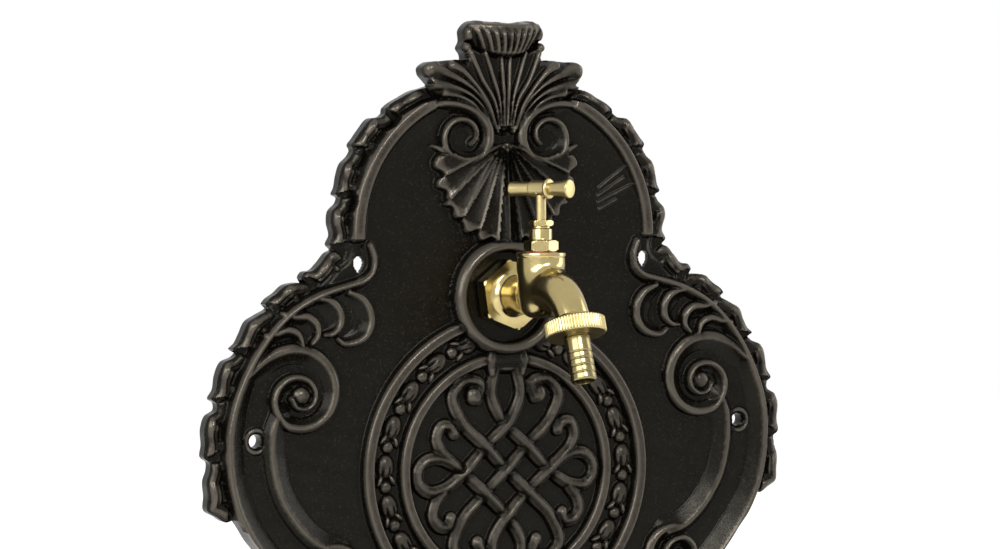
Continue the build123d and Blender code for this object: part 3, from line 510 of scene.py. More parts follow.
# %% Leaves
def leaf_relief(h, x, z, inner):
    """Bean-shaped leaves, one between every two notches of the outline: a quarter round up from the edge,
    low at both ends, with a fold along it and two small lumps behind it."""
    pick = np.flatnonzero((inner < 13.9) & (z > -134) & (z < 133))
    depth = inner[pick]
    along = nearest(x[pick], z[pick], leaf_line)[1]
    k = np.clip(np.searchsorted(leaf_ends, along, "right") - 1, 0, len(leaf_ends) - 2)
    span = leaf_ends[k + 1] - leaf_ends[k]
    u = np.clip((along - leaf_ends[k]) / span, 0, 1)
    swell = (4.6 + 0.6 * np.sin(2.3 * k)) * np.sqrt(np.sin(np.pi * u**0.8))
    crest = leaf_floor + swell + 0.6 * np.cos(np.pi * 5 * u)
    middle = 3.8 + 1.4 * u
    leaf = leaf_foot + (crest - leaf_foot) * np.sqrt(np.clip(1 - ((depth - middle) / 4.6) ** 2, 0, 1))
    leaf = leaf - 1.2 * np.sin(np.pi * u) * np.exp(-(((depth - middle - 1) / 0.7) ** 2))
    for place, back, size in leaf_lumps:
        gap = ((u - place) * span * leaf_length) ** 2 + (depth - back) ** 2
        leaf = np.maximum(leaf, leaf_floor + 3.6 * np.sqrt(np.clip(1 - gap / size**2, 0, 1)))
    h[pick] = merge(np.where(depth < 8, np.minimum(h[pick], leaf_floor), h[pick]), leaf, 0.5)
    return h


# %% Panel, cove and arch rim
def ground_relief(x, z, inner):
    """Panel, hollow cove inside the arch, flat arch rim, and rolled leaves by the distance inside the
    outline."""
    h = valley + (ground - valley) * ease((inner - 9) / 4)
    r = from_spot(x, z, arch_centre)
    rise = np.degrees(np.arctan2(z - arch_centre[1], x - arch_centre[0]))
    upper = ease((z - 18) / 24) * ease((76 - rise) / 16)
    cove = ground + 3.0 * np.clip((r - 57) / 28.5, 0, 1) ** 2 * upper
    h = np.where((r < arch_inner) & (z > 0), cove, h)
    off = np.maximum(arch_inner - r, r - arch_outer)
    rim = flat_band(off, 0, rim_crest - 0.1 * above(r - arch_inner), 1.7)
    rim = rim - 2.2 * above(37 - z) - 1.4 * above(rise - 64)
    h = merge(h, np.where(z > 20, rim, 0), 0.8)
    return leaf_relief(h, x, z, inner)


# %% [markdown]
# ## Lobes
#
# On each lobe a bevelled rim rolls into a large snail, a stem runs down to a second one, and small curls
# hang from the rim. A curve with a round bevel would give pipes. These scrolls are scooped, with a sharp
# crest outside and a hollow inside, so their profile also knows on which side of the line a place lies.

# %% Lines of the lobes
lobe_rim = [
    (91, 33), (88.3, 25), (89.3, 17.5), (94.5, 12.3), (103, 9.7), (115, 6.5), (128, 1.8), (141, -5.5),
    (152.5, -15.5), (164, -30), (172, -44), (178.5, -60), (182, -75), (182.5, -92), (180.5, -110),
    (174.5, -129), (166, -144), (154, -160), (136, -180), (119, -199),
]
lobe_spiral = [
    (171, -44), (157, -33.5), (141, -29), (128, -32), (118.5, -41), (115, -52), (116.5, -61.5),
    (121, -68.5), (128.5, -73.5), (137, -75), (145.5, -72.8), (151.3, -66), (153.3, -58.5),
    (150.8, -51), (144.8, -46), (137.5, -45), (131, -48), (127.8, -54), (129, -60), (134, -63.6),
    (140, -62.3), (142.8, -57.5),
]
lobe_stem = [
    (112, -150.5), (122, -147.5), (132, -140.5), (142, -129), (150, -115), (154, -100), (155.3, -86),
    (154.5, -76), (151, -67),
]
lobe_snail = [
    (122, -147.5), (112, -148.5), (104, -153.5), (100, -161), (101, -170), (109, -178), (120, -178),
    (129, -171), (130, -161), (123, -155), (115, -156.5), (110, -163), (113, -170), (119, -170.5),
    (121, -165),
]
curls = [
    ([(104.5, 5), (96, 0.5), (91.5, -7), (91, -14), (94.5, -21), (101.5, -25), (108.5, -25.3), (112, -22.5)],
     (5, 10, 9, 6, 2.5)),
    ([(127, 1.5), (120, 1), (113.5, -3), (110.5, -9.5), (112, -16), (116, -19.5), (120.5, -20)],
     (3, 7.5, 7.5, 5, 2)),
    ([(147, -7.5), (139.5, -9), (131, -9.8), (126, -14.5), (125.5, -20.5), (129, -25)], (3, 6.5, 6.5, 5, 2)),
    ([(158, -20), (152, -18.8), (144, -17), (137.5, -20), (135, -25.5)], (3, 5.5, 5.5, 4, 2)),
]
lobe_eye, lobe_eye_radius, stem_crest, edge_flat = (136, -56), 6.4, 15.8, 0.7
print("curls on a lobe", len(curls))


# %% Lobes in relief
def lobe_relief(h, x, z):
    """The bevelled rim with its crest outside, the scooped spiral that leaves it, the stem down to a
    second snail, spoon-shaped curls and hole pads."""
    def rim(d, t, side):
        """Crest on the line, a straight bevel inside that widens along it, a steep fall outside."""
        reach = np.interp(t, (0, 0.3, 0.5, 1), (3.2, 4.2, 9.5, 11))
        inside = rim_crest - 6.3 * np.clip((d - edge_flat) / reach, 0, 1)
        inside = inside - 2 * above(d - reach - edge_flat)
        return np.where(side < 0, inside, rim_crest - 2.6 * above(d - edge_flat))
    h = lay(h, x, z, lobe_rim, rim, 16, 110, 0.7)

    def stem(d, t, side):
        """Crest on the line, a straight bevel inside, a steeper slope and then a fall outside."""
        inside = stem_crest - 4.8 * np.clip((d - edge_flat) / 8.2, 0, 1) - 2.5 * above(d - 8.9)
        outside = stem_crest - 0.9 * above(d - edge_flat) - 2 * above(d - 5)
        return np.where(side > 0, inside, outside)
    h = scroll(h, x, z, lobe_spiral, (6, 13, 12, 10.5, 9.5, 8, 6, 4.5, 2),
               (16.5, 15.6, 15.4, 15.6, 16, 16.4, 17, 17.4, 17.8),
               (3, 5, 5, 4.6, 4, 3, 2.4, 2, 1.4), 5.4, 110)
    h = lay(h, x, z, lobe_stem, stem, 12, 50, 0.6)
    h = scroll(h, x, z, lobe_snail, (7, 8.5, 7.5, 7, 5.5, 4, 2), (15.8, 15.8, 15.8, 16.2, 16.8, 17.4),
               (3, 4.6, 4.4, 3.4, 2.4, 1.6), 5.2, 80)
    for points, widths in curls:
        h = scroll(h, x, z, points, widths, (16, 16.2, 16.2, 15.6), (2.4, 3.6, 3.4, 1.6), 5.0, 30)
    d = from_spot(x, z, lobe_eye)
    h = np.where(d < lobe_eye_radius, merge(h, rounded(d, lobe_eye_radius, 17, 5.4), 0.8), h)
    r = from_spot(x, z, screw_hole)
    return np.where(r < 9, merge(h, rounded(np.abs(r - 6.6), 1.9, 12.6, 2.6), 0.6), h)


# %% [markdown]
# ## Boss
#
# The tap sits in the recess of a round boss. It could be a turned mesh set on the plate, but then a seam
# would show where the casting has a fillet, so the boss is one more height, measured from its middle.

# %% Boss round the tap
boss_crest_radius, boss_outer, boss_inner, boss_recess = 31.5, 36.5, 28.6, 24.0
boss_crest, recess_level = 20, 11
print("boss", boss_crest - recess_level, "mm deep")


def boss_relief(h, x, z):
    """A ring: a quarter ellipse down to the ground outside, a steep wall inside to a flat recess for the
    tap."""
    r = np.hypot(x, z)
    outside = rounded(r - boss_crest_radius, boss_outer - boss_crest_radius, boss_crest, 9.5)
    wall = recess_level + 0.8 * above(r - boss_recess)
    wall = np.maximum(np.minimum(rounded(boss_crest_radius - r, 2.6, boss_crest, 2.6), wall), recess_level)
    inside = np.where(r > boss_inner, rounded(boss_crest_radius - r, 2.9, boss_crest, 3), wall)
    return np.where(r < boss_crest_radius, inside, np.where(r < boss_outer + 3, merge(h, outside), h))


# %% [markdown]
# ## Crest
#
# A fan of ribs opens upwards to a fluted cup, two snails curl at its foot, and a shell of feathers hangs
# below. Ribs and snails are lines again. The shell is simpler in its own coordinates: the angle about the
# point where it hangs says which feather a place is on, and the distance from that point says where the
# feather ends.

# %% Lines of the crest
fan_ribs = [
    [(15, 106), (20, 116), (30, 122), (40, 125)],
    [(9, 102), (15, 115), (25, 124), (38, 128.5), (48, 131)],
    [(7, 103), (14, 118), (25, 129), (38, 136), (49, 139)],
    [(5.5, 101), (12, 118), (22, 131), (30, 138.5), (35, 141)],
    [(4.5, 103), (8, 120), (16, 133), (23, 149)],
    [(3, 105), (5, 122), (9, 135), (13.5, 149)],
    [(1, 105), (1.6, 122), (3, 149)],
]
rib_tips = (3.4, 4.6, 4.8, 3.4, 2.2, 1.8, 1.5)
crest_volute = [
    (50, 116), (39, 117.8), (28, 116.2), (18.5, 111.2), (12.8, 103.5), (12.4, 95), (16.5, 87.5),
    (24.5, 83.5), (34, 84.8), (40, 90.5), (41.2, 98.5), (37.8, 105.3), (31.5, 108.4), (24.8, 107.2),
    (20.6, 102.6), (20.6, 97), (23.6, 93.6),
]
crest_lip = [(30, 84), (38, 86.5), (44, 90.5), (49, 92.5)]
shell_angles = np.array([0, 7, 20, 34, 49, 65, 84.0])
shell_radii = np.array([61, 60, 58.5, 55, 51.5, 48.5])
shell_z, fan_foot, fan_corner, volute_middle, volute_radius = 94, 97, (48.5, 137), (26.5, 99.5), 14
cup_top, cup_half, cup_shoulder = 168.5, 25, 0.86
cup_lumps = (((23.5, 160.5), 4.2, 15.5), ((25, 152.5), 3.0, 15.5),
             ((17.5, 165), 3.6, 19), ((6, 166), 3.4, 19))
print("ribs on a side", len(fan_ribs), "feathers on a side", len(shell_radii))


# %% Shell in relief
def shell_relief(h, x, z):
    """Feathers of a shell that hangs from shell_z: broad and nearly flat, each stepped over the one below
    it, with a thin ridge along its lower side and a ragged end."""
    angle = np.degrees(np.arctan2(x, shell_z - z))
    r = np.hypot(x, z - shell_z)
    k = np.clip(np.searchsorted(shell_angles, angle, "right") - 1, 0, len(shell_radii) - 1)
    gap = np.radians(angle - shell_angles[k]) * r
    width = np.radians(shell_angles[k + 1] - shell_angles[k]) * r
    u = np.clip(gap / np.maximum(width, 0.1), 0, 1)
    swell = 14.4 + 0.05 * np.clip(r, 0, 62)
    feather = swell + 2.4 * (1 - u) - 0.5 * np.sin(np.pi * u) + 0.9 * np.exp(-((gap / 0.9) ** 2))
    end = shell_radii[k] + 1.6 * np.sin(u * 8 + 2 * k) + 1.0 * np.sin(u * 3.1) - 1.5
    feather = feather - 0.5 * ease((r - end + 5) / 5) - 4.0 * above(r - end)
    feather = feather - 1.5 * above(angle - 80)
    return np.where((angle < 88) & (r < 66), merge(h, feather, 0.4), h)


# %% Fan, cup and volutes in relief
def crest_relief(h, x, z):
    """Flutes between thin ribs, a gadrooned cup on top, and two snails with a pointed lip over the
    shell."""
    low = 146.5 + 7.5 * (x / cup_half) ** 2
    top = np.where(x < cup_half, (low + 1 - z) / 2, (145.5 - z) / 5)
    fan = ease((z - fan_foot) / 5) * ease(top) * ease((54 - x) / 4) * ease((z - fan_foot - 0.5 * x) / 6)
    h = np.where(fan > 0, np.maximum(h * (1 - fan), 8 + (4.4 + 0.03 * (z - fan_foot)) * fan), h)
    for rib, tip in zip(fan_ribs, rib_tips):
        h = ridge(h, x, z, rib, (1.1, 1.5, tip), (16.2, 17.4, 16.6), 4.6, 24, 2.2)
    d = np.hypot(x - fan_corner[0], (z - fan_corner[1]) * 0.8)
    h = np.where(d < 8, merge(h, rounded(d, 7, 15.5, 5), 1.5), h)
    h = ridge(h, x, z, crest_lip, (4.0, 3.4, 2.6, 1.0), (16, 16.4, 16.2, 15.4), 4, 20, 1.2)
    r = from_spot(x, z, volute_middle)
    h = np.where(r < volute_radius, 11.8, h)
    h = scroll(h, x, z, crest_volute, (3, 5, 7, 8, 8, 7.5, 7, 6, 4.5, 3, 2),
               (15.6, 16.4, 17.2, 17.8, 17.8, 17.4, 17, 17, 17.6, 17.8, 17.2),
               (2.4, 4, 4.6, 4.4, 3.6, 2.4, 2, 1.6), 5.0, 80)
    up = np.clip((z - low) / (cup_top - low), 0, 1)
    spread = 42 * x / np.maximum(z - 121, 20)
    flank = 11.5 * (spread / 26) ** 2.4
    gadroon = 2.2 * np.abs(np.cos(np.pi * spread / 5.1)) * ease((cup_shoulder - up) / 0.3)
    bowl = 16.5 + 6.5 * np.sin(np.pi * np.clip(up * 0.62 + 0.12, 0, 1)) - flank + gadroon
    bowl = bowl - 9 * above(1 - up / 0.10) ** 2
    bowl = bowl - 9 * above((up - cup_shoulder) / 0.14) ** 2
    h = np.where((x < 29) & (z > low), merge(h, bowl, 0.6), h)
    for lump, size, height in cup_lumps:
        d = from_spot(x, z, lump)
        h = np.where(d < size, merge(h, rounded(d, size, height, 4), 1.2), h)
    return h


# %% [markdown]
# ## Rings, garland and knot
#
# Two rings hold a garland of husks, and inside them four strands and their mirror images weave a knot.
# Eight curves with a bevel would need their points raised by hand at every crossing. Here a table says
# which slant passes over at each crossing, and the strand's crest rises or dips there by itself.

# %% Lines of the medallion
ring_radius, inner_ring_radius, garland_radius, garland_units = 92.8, 68.6, 81.2, 21
loop_strand = [
    (-7, 63), (-10, 46), (-3, 31), (13, 15), (30, -1.5), (43, -10.5), (53, -11.5), (59, -6.5),
    (59.5, 1.5), (54, 7.5), (45, 8.5), (36, 4.5), (31, 1),
]
scroll_strand = [
    (-20, 44), (-17, 52), (-27, 55.5), (-36, 47), (-31, 31.5), (-15, 15), (0, 0), (15, -15),
    (31, -31.5), (36, -47), (27, -55.5), (17, -52), (20, -44),
]
hook_strand = [
    (-35.5, 23.5), (-38.5, 27.5), (-43.4, 27.8), (-46.8, 21), (-44, 12.5), (-38, 6.5), (-31, 0.5),
    (-15, -14), (0, -29), (10, -46), (7, -63),
]
low_hook_strand = [(-43, -12), (-48.5, -20), (-49.5, -27.5), (-45, -33), (-39.5, -33), (-38, -28.5)]
crossings = np.array([
    (0, 28), (-30, 0), (0, 0), (30, 0), (0, -28), (-15, 14), (15, 14), (-15, -14), (15, -14)])
rising_over = np.array([1, 1, 1, 1, 1, -1, -1, -1, -1])
bow_z, bow_roll = -39, [(9.5, -30.5), (11, -38), (10, -47)]
knot_reach, knot_eye, knot_eye_radius = 66, (22, -60), 5.4
print("husks", garland_units, "crossings", len(crossings))


# %% Rings and garland in relief
def ring_relief(h, x, z):
    """Two flat-topped rings with sloping walls, a garland of husks between them, and a bow with two rolls
    on top."""
    r = np.hypot(x, z - medallion_z)
    h = np.where(r < ring_radius, ground - 0.6, h)
    for radius, half, crest in ((ring_radius, 2.7, 16.6), (inner_ring_radius, 2.4, 15.6)):
        off = np.abs(r - radius)
        h = merge(h, flat_band(off, half, crest - 0.06 * off**2, 2.1), 0.8)
    unit = 2 * np.pi * garland_radius / garland_units
    u = np.mod(np.arctan2(x, z - medallion_z) * garland_radius + unit * 0.3, unit)
    v = r - garland_radius

    def dome(cu, cv, su, sv, top, turn=0.0):
        """Half an ellipsoid at (cu, cv), su long and sv wide to each side, turned in its plane."""
        c, s = np.cos(turn), np.sin(turn)
        a, b = (u - cu) * c + (v - cv) * s, (v - cv) * c - (u - cu) * s
        q = (a / su) ** 2 + (b / sv) ** 2
        return np.where(q < 1, ground - 1 + (top - ground + 1) * np.sqrt(above(1 - q)), 0)
    husk = np.maximum(dome(8.6, 0, 8.4, 5.9, 14.4), dome(20.4, 0, 4.6, 4.4, 13.8))
    husk = husk - 1.1 * np.exp(-(((np.abs(v) - 2.2) / 0.6) ** 2)) * ease((u - 6) / 5) * ease((17 - u) / 2)
    for cv in (4.2, -4.2):
        husk = np.maximum(husk, dome(16.6, cv, 4.4, 1.9, 14.2, np.sign(cv) * 0.5))
    h = np.where(np.abs(v) < 7, np.maximum(h, husk), h)
    strap = flat_band(np.maximum(x - 9, np.abs(z - bow_z) - 5.5), 0, 14.8, 1.5)
    h = np.where((x < 16) & (np.abs(z - bow_z) < 12), np.maximum(h, strap), h)
    return ridge(h, x, z, bow_roll, (2.4, 3.8, 2.4), (16.2, 17.4, 15.8), 4.4, 16, 0.8)


# %% Knot in relief
def strand(h, x, z, points, count=60):
    """A roof-shaped strand of the knot: its crest rises where it passes over a crossing and dips where it
    passes under."""
    line = smooth_line(points, count)
    way = np.gradient(line, axis=0)
    slant = np.sign(way[:, 0] * way[:, 1])[:, None]
    gap = ((line[:, None] - crossings) ** 2).sum(-1)
    lift = (slant * rising_over * np.exp(-gap / (2 * 4.5**2))).sum(1)

    def form(d, t, side):
        """A roof with a round ridge: a hyperbola across the strand, lifted or lowered at crossings."""
        crest = 15.4 + 1.3 * evenly(t, lift)
        return crest - 0.8 * (np.hypot(d, 0.9) - 0.9) - 4 * above(d - 4.0)
    return lay(h, x, z - medallion_z, points, form, 7, count, 0.5)


def knot_relief(h, x, z):
    """All strands and their mirror images, and the small snail eyes at the top."""
    for points in (loop_strand, scroll_strand, hook_strand, low_hook_strand):
        for way in (1, -1):
            h = strand(h, x, z, [(way * a, b) for a, b in points])
    d = np.hypot(np.abs(x) - knot_eye[0], (z - knot_eye[1]) * 0.85)
    eye = 11 + 5.5 * np.sqrt(above(1 - (d / knot_eye_radius) ** 2))
    return np.where(d < knot_eye_radius, merge(h, eye, 0.6), h)


# %% [markdown]
# ## The whole relief
#
# The ornaments are laid in turn, each over what is there. Nearly all of them see the distance from the
# middle line, so both halves come from one set of lines. Four strokes on the right and a slow unevenness,
# as sand moulds leave, break the mirror image. A noise texture could give the unevenness, but then the
# mesh itself would stay too true.

# %% The whole relief
strokes = [((66, 66), (83, 79)), ((65, 61), (83, 72.5)), ((65, 57), (88, 68)), ((66, 53), (78, 59))]
waves = np.random.default_rng(7).uniform(-1, 1, (14, 3))
unevenness = 0.2
print("strokes", len(strokes), "waves", len(waves))


def relief(x, z, inner):
    """Depth of iron in front of the wall, in millimetres; inner is the distance inside the outline."""
    m = np.abs(x)
    h = ground_relief(m, z, inner)
    h = lobe_relief(h, m, z)
    h = ring_relief(h, m, z)
    h = np.where(np.hypot(x, z - medallion_z) < knot_reach, knot_relief(h, x, z), h)
    h = shell_relief(h, m, z)
    h = crest_relief(h, m, z)
    h = boss_relief(h, x, z)
    for a, b in strokes:
        d = nearest(x, z, np.array([a, b], float))[0]
        h = h + 1.2 * np.exp(-((d / 0.75) ** 2))
    kx, kz, phase = waves.T * np.array([[0.55], [0.55], [np.pi]])
    uneven = np.sin(x[:, None] * kx + z[:, None] * kz + phase).mean(1)
    return h + unevenness * uneven


# %% [markdown]
# ## The casting's front
#
# The front is a grid of points about two thirds of a millimetre apart. Points near the outline or a hole
# slide onto it, so the scallops have clean edges. A displace modifier with an image could do the same,
# but an image is a file and blurs the edges. The round medallion gets a grid of rings and rays instead,
# so that its circles stay smooth.


# %% Wear, painted highlight and painted shade along edges
# This number makes crests pale, as real wear and as a painted highlight, and makes hollows dark, as painted
# shade.
def edge_wear_and_shading(h, blur=3):
    """How far a point stands above the mean of its neighbourhood on the grid, as 0 to 1 with 0.5 for
    level ground."""
    def mean(a, n):
        """The mean of 2n + 1 neighbours along each axis in turn, as a difference of running sums."""
        for axis in (0, 1):
            pad = np.pad(a, [(n + 1, n) if i == axis else (0, 0) for i in (0, 1)], mode="edge")
            run = np.cumsum(pad, axis)
            take = np.arange(a.shape[axis])
            a = (np.take(run, take + 2 * n + 1, axis) - np.take(run, take, axis)) / (2 * n + 1)
        return a
    return np.clip(0.5 + 0.55 * (mean(h, 1) - mean(h, blur)) + 0.16 * (mean(h, 1) - mean(h, blur * 3)), 0, 1)


# %% Closing a sheet
back_depth = 7.0


def open_edges(faces):
    """The directed edges of quads that no neighbour shares the other way round; a triangle repeats its
    last corner."""
    pairs = np.concatenate([faces[:, [i, (i + 1) % 4]] for i in range(4)])
    pairs = pairs[pairs[:, 0] != pairs[:, 1]]
    span = faces.max() + 1
    code, back = pairs[:, 0] * span + pairs[:, 1], pairs[:, 1] * span + pairs[:, 0]
    return pairs[~np.isin(code, back)]


def close_sheet(name, points, faces, wear_and_shading):
    """A solid from a front sheet: walls from its open edges straight back to one depth, and a flat lid
    there."""
    edges = open_edges(faces)
    rim = np.unique(edges)
    lower = points[rim].copy()
    lower[:, 1] = -back_depth
    number = np.full(len(points), -1)
    number[rim] = len(points) + np.arange(len(rim))
    walls = np.column_stack([edges[:, 1], edges[:, 0], number[edges[:, 0]], number[edges[:, 1]]])
    three = faces[:, 2] == faces[:, 3]
    mesh = put_mesh(name, np.vstack([points, lower]), faces[~three], faces[three][:, :3], walls)
    made = bmesh.new()
    made.from_mesh(mesh)
    lid = bmesh.ops.triangle_fill(made, edges=[e for e in made.edges if e.is_boundary], use_beauty=True)
    for face in lid["geom"]:
        if isinstance(face, bmesh.types.BMFace) and face.normal.y < 0:
            face.normal_flip()
    left = sum(e.is_boundary for e in made.edges)
    made.to_mesh(mesh)
    made.free()
    # The points at the back get a low number, so the side walls are darkened with painted shade.
    store = mesh.attributes.new("wear_and_shading", "FLOAT", "POINT")
    store.data.foreach_set("value", np.r_[wear_and_shading, np.full(len(rim), 0.32)].astype(np.float32))
    print(name, "open edges left", left)
    return mesh


# %% Cutting a sheet out of a grid
def cut_sheet(name, x, z, out, inner, step, side=1, border=()):
    """The relief on a square grid, kept where out is below zero: points near the cut slide onto it along
    its slope. border names the grid's straight ends, which keep their line. side -1 mirrors the sheet."""
    gx, gz = np.gradient(out, step)
    close = np.abs(out) < 0.5 * step
    pull = np.where(close, out / np.maximum(gx**2 + gz**2, 0.25), 0)
    px, pz = x - pull * gx, z - pull * gz
    if "middle" in border:
        px[0] = x[0]
    if "bottom" in border:
        pz[:, 0] = z[:, 0]
    if "top" in border:
        pz[:, -1] = z[:, -1]
    kept = close | (out < 0)
    h = relief(side * px.ravel(), pz.ravel(), inner).reshape(x.shape)
    number = np.where(kept, np.cumsum(kept.ravel()).reshape(x.shape) - 1, -1)
    quads = np.stack([number[:-1, :-1], number[1:, :-1], number[1:, 1:], number[:-1, 1:]], -1).reshape(-1, 4)
    there = (quads >= 0).sum(1)
    part = quads[there == 3]
    corner = np.take_along_axis(part, ((part < 0).argmax(1)[:, None] + [1, 2, 3, 3]) % 4, 1)
    faces = np.vstack([quads[there == 4], corner])
    if side < 0:
        faces = np.where((faces[:, 2] == faces[:, 3])[:, None], faces[:, [1, 0, 2, 2]], faces[:, ::-1])
    points = np.column_stack([side * px[kept], -h[kept], pz[kept]])
    return close_sheet(name, points, faces, edge_wear_and_shading(h)[kept])


def plate_cut(x, z):
    """How far each place lies outside the plate or inside a hole or the medallion, and how far inside the
    outline."""
    m = np.abs(x)
    edge = edge_depth(m, z, outline)
    hanging = -edge_depth(m, z, hanging_hole, 8)
    screw = screw_radius - from_spot(m, z, screw_hole)
    medallion = medallion_radius - np.hypot(x, z - medallion_z)
    return np.maximum.reduce([edge, hanging, screw, medallion, shank_hole - np.hypot(x, z)]), -edge


# %% The two halves and the apron
waist_z, front_step = -196.0, 0.66


def half_sheet(name, step, side):
    """A half of the plate above the waist."""
    x, z = np.meshgrid(np.arange(0, 199, step), np.arange(waist_z, 170.2, step), indexing="ij")
    out, inner = plate_cut(x.ravel(), z.ravel())
    return cut_sheet(name, x, z, out.reshape(x.shape), inner, step, side, ("middle", "bottom"))


def apron_sheet(name, step):
    """The plain part below the waist, behind the basin, on a coarser grid."""
    x, z = np.meshgrid(np.arange(-140, 140 + step, step), waist_z + np.arange(-66, 1) * step, indexing="ij")
    out, inner = plate_cut(x.ravel(), z.ravel())
    return cut_sheet(name, x, z, out.reshape(x.shape), inner, step, 1, ("top",))


piece(half_sheet("casting_right", front_step, 1), iron, nodes=["back_plate"], crease=70)
piece(half_sheet("casting_left", front_step, -1), iron, crease=70)

# %% [markdown]
# ## The medallion
#
# The round panel in the middle has its own sheets: a ring of 900 rays, so that its mouldings are true
# circles, and a finer square grid for the interlaced knot, whose strands cross at all angles.


# %% Medallion sheets
well_inside = 99.0


def ring_sheet(name, r_start, r_end, rings, rays):
    """The relief on a grid of rings and rays about the medallion's middle."""
    radii, turns = np.linspace(r_start, r_end, rings), np.arange(rays) * 2 * np.pi / rays
    r, turn = np.meshgrid(radii, turns, indexing="ij")
    x, z = r * np.sin(turn), medallion_z + r * np.cos(turn)
    h = relief(x.ravel(), z.ravel(), np.full(x.size, well_inside)).reshape(x.shape)
    points = np.column_stack([x.ravel(), -h.ravel(), z.ravel()])
    faces = grid_faces(rings, rays, wrap_columns=True)[:, ::-1]
    return close_sheet(name, points, faces, edge_wear_and_shading(h).ravel())


def knot_sheet(name, radius, step):
    """The relief on a square grid cut to a circle about the medallion's middle."""
    span = np.arange(-radius - 2 * step, radius + 3 * step, step)
    x, z = np.meshgrid(span, span + medallion_z, indexing="ij")
    out = np.hypot(x, z - medallion_z) - radius
    return cut_sheet(name, x, z, out, np.full(x.size, well_inside), step)


knot_radius = 63.2
piece(ring_sheet("medallion_ring", knot_radius, medallion_radius, 66, 900), iron, crease=70)
piece(knot_sheet("medallion_knot", knot_radius, 0.55), iron, crease=70)
piece(apron_sheet("casting_apron", 2.0), iron, crease=70)

# %% [markdown]
# ## Turned pieces
#
# Most of a tap is made on a lathe: a profile turned about an axis. Blender's Spin and Screw do this too,
# but then flutes, hexagons and threads need booleans. Here the radius may depend on the angle, so one
# function makes them all. Most profiles get their corners rounded first, because a real edge always
# catches a line of light.


# %% Lathe helpers
def soften(profile, radius, steps=4, closed=False):
    """A profile with each corner replaced by a small parabola that starts and ends within radius of the
    corner."""
    p = np.asarray(profile, float)
    before, after = np.roll(p, 1, 0), np.roll(p, -1, 0)
    back, on = np.linalg.norm(before - p, axis=1), np.linalg.norm(after - p, axis=1)
    a = p + (before - p) * (np.minimum(radius, 0.45 * back) / np.maximum(back, 1e-9))[:, None]
    b = p + (after - p) * (np.minimum(radius, 0.45 * on) / np.maximum(on, 1e-9))[:, None]
    if not closed:
        a[0] = b[0] = p[0]
        a[-1] = b[-1] = p[-1]
    t = np.linspace(0, 1, steps)[:, None]
    bent = (1 - t) ** 2 * a[:, None] + 2 * t * (1 - t) * p[:, None] + t**2 * b[:, None]
    return bent.reshape(-1, 2) if closed else np.vstack([p[:1], bent[1:-1].reshape(-1, 2), p[-1:]])


def axis_frame(axis):
    """Two directions at right angles to an axis and to each other; the first lies as near upright as it
    can."""
    w = np.asarray(axis, float) / np.linalg.norm(axis)
    first = np.array([0, 0, 1.0]) if abs(w[2]) < 0.9 else np.array([0, 1.0, 0])
    u = first - w * (first @ w)
    u /= np.linalg.norm(u)
    return u, np.cross(w, u), w


# %% Turning a profile
def solid(mesh):
    """A closed mesh with coincident points merged, so that poles close, and every face turned
    outwards."""
    made = bmesh.new()
    made.from_mesh(mesh)
    bmesh.ops.remove_doubles(made, verts=made.verts, dist=1e-7)
    bmesh.ops.recalc_face_normals(made, faces=made.faces)
    print(mesh.name, "open edges", sum(len(e.link_faces) != 2 for e in made.edges))
    made.to_mesh(mesh)
    made.free()
    return mesh


def turned(name, profile, origin, axis, sides=96, shape=None, ring=False):
    """A profile of (radius, height) carried round an axis; shape(radius, angle, height) may change the
    radius. A ring's profile is a closed loop; otherwise it starts and ends on the axis."""
    profile = np.asarray(profile, float)
    turn = np.arange(sides) * 2 * np.pi / sides
    r, angle = np.meshgrid(profile[:, 0], turn, indexing="ij")
    s = np.repeat(profile[:, 1:2], sides, 1)
    if shape:
        r = shape(r, angle, s)
    u, v, w = axis_frame(axis)
    points = (np.asarray(origin, float) + s[..., None] * w
              + (r * np.cos(angle))[..., None] * u + (r * np.sin(angle))[..., None] * v).reshape(-1, 3)
    return solid(put_mesh(name, points, grid_faces(len(profile), sides, wrap_rows=ring, wrap_columns=True)))


def hexagon(half_flats):
    """A shape that keeps a radius inside a hexagon with a corner at angle 0: flat distance over the
    cosine."""
    def shape(r, angle, s):
        """The smaller of the radius and the distance to the hexagon's side at that angle."""
        edge = half_flats / np.cos(np.mod(angle, np.pi / 3) - np.pi / 6)
        return np.minimum(r, edge)
    return shape


# %% [markdown]
# ## The hollow back
#
# A casting like this is hollow behind, to save iron. A flat rim follows the scalloped edge and touches
# the wall, and short tubes round the holes take the screws. The rim is one four-sided profile carried
# round the outline: its outer side follows every scallop while its inner side follows a smooth line.

# %% Rim and hole tubes
inner_way = [
    (0, 150), (16, 149), (22, 139), (44, 131.5), (60, 113), (76, 101), (89, 82), (98, 60), (101, 40),
    (107, 22), (124, 8), (146, -4), (161, -21), (173, -40), (181, -66), (183, -92), (179, -114),
    (167, -134), (148, -159), (128, -184), (119, -200), (124, -222), (108, -260), (72, -295),
    (30, -314), (0, -317),
]
inner_half = smooth_line(inner_way, 500)
inner_line = np.vstack([inner_half, inner_half[-2::-1] * (-1, 1)])
outer_line = outline[:-1]
along = nearest(outer_line[:, 0], outer_line[:, 1], inner_line)[1]
run = np.r_[0, np.cumsum(np.linalg.norm(np.diff(inner_line, axis=0), axis=1))]
matched = np.column_stack([np.interp(along * run[-1], run, inner_line[:, i]) for i in (0, 1)])
corners = [(outer_line, -back_depth - 0.4), (outer_line, 0), (matched, 0), (matched, -back_depth - 0.4)]
rim_rows = [np.column_stack([line[:, 0], np.full(len(line), y), line[:, 1]]) for line, y in corners]
rim_mesh = put_mesh("plate_rim", np.vstack(rim_rows), grid_faces(4, len(outer_line), True, True))
piece(solid(rim_mesh), plain_iron)
tube_radius, tube_end = 8.5, -back_depth - 1
tube = [(screw_radius, 0), (tube_radius, 0), (tube_radius, tube_end), (screw_radius, tube_end)]
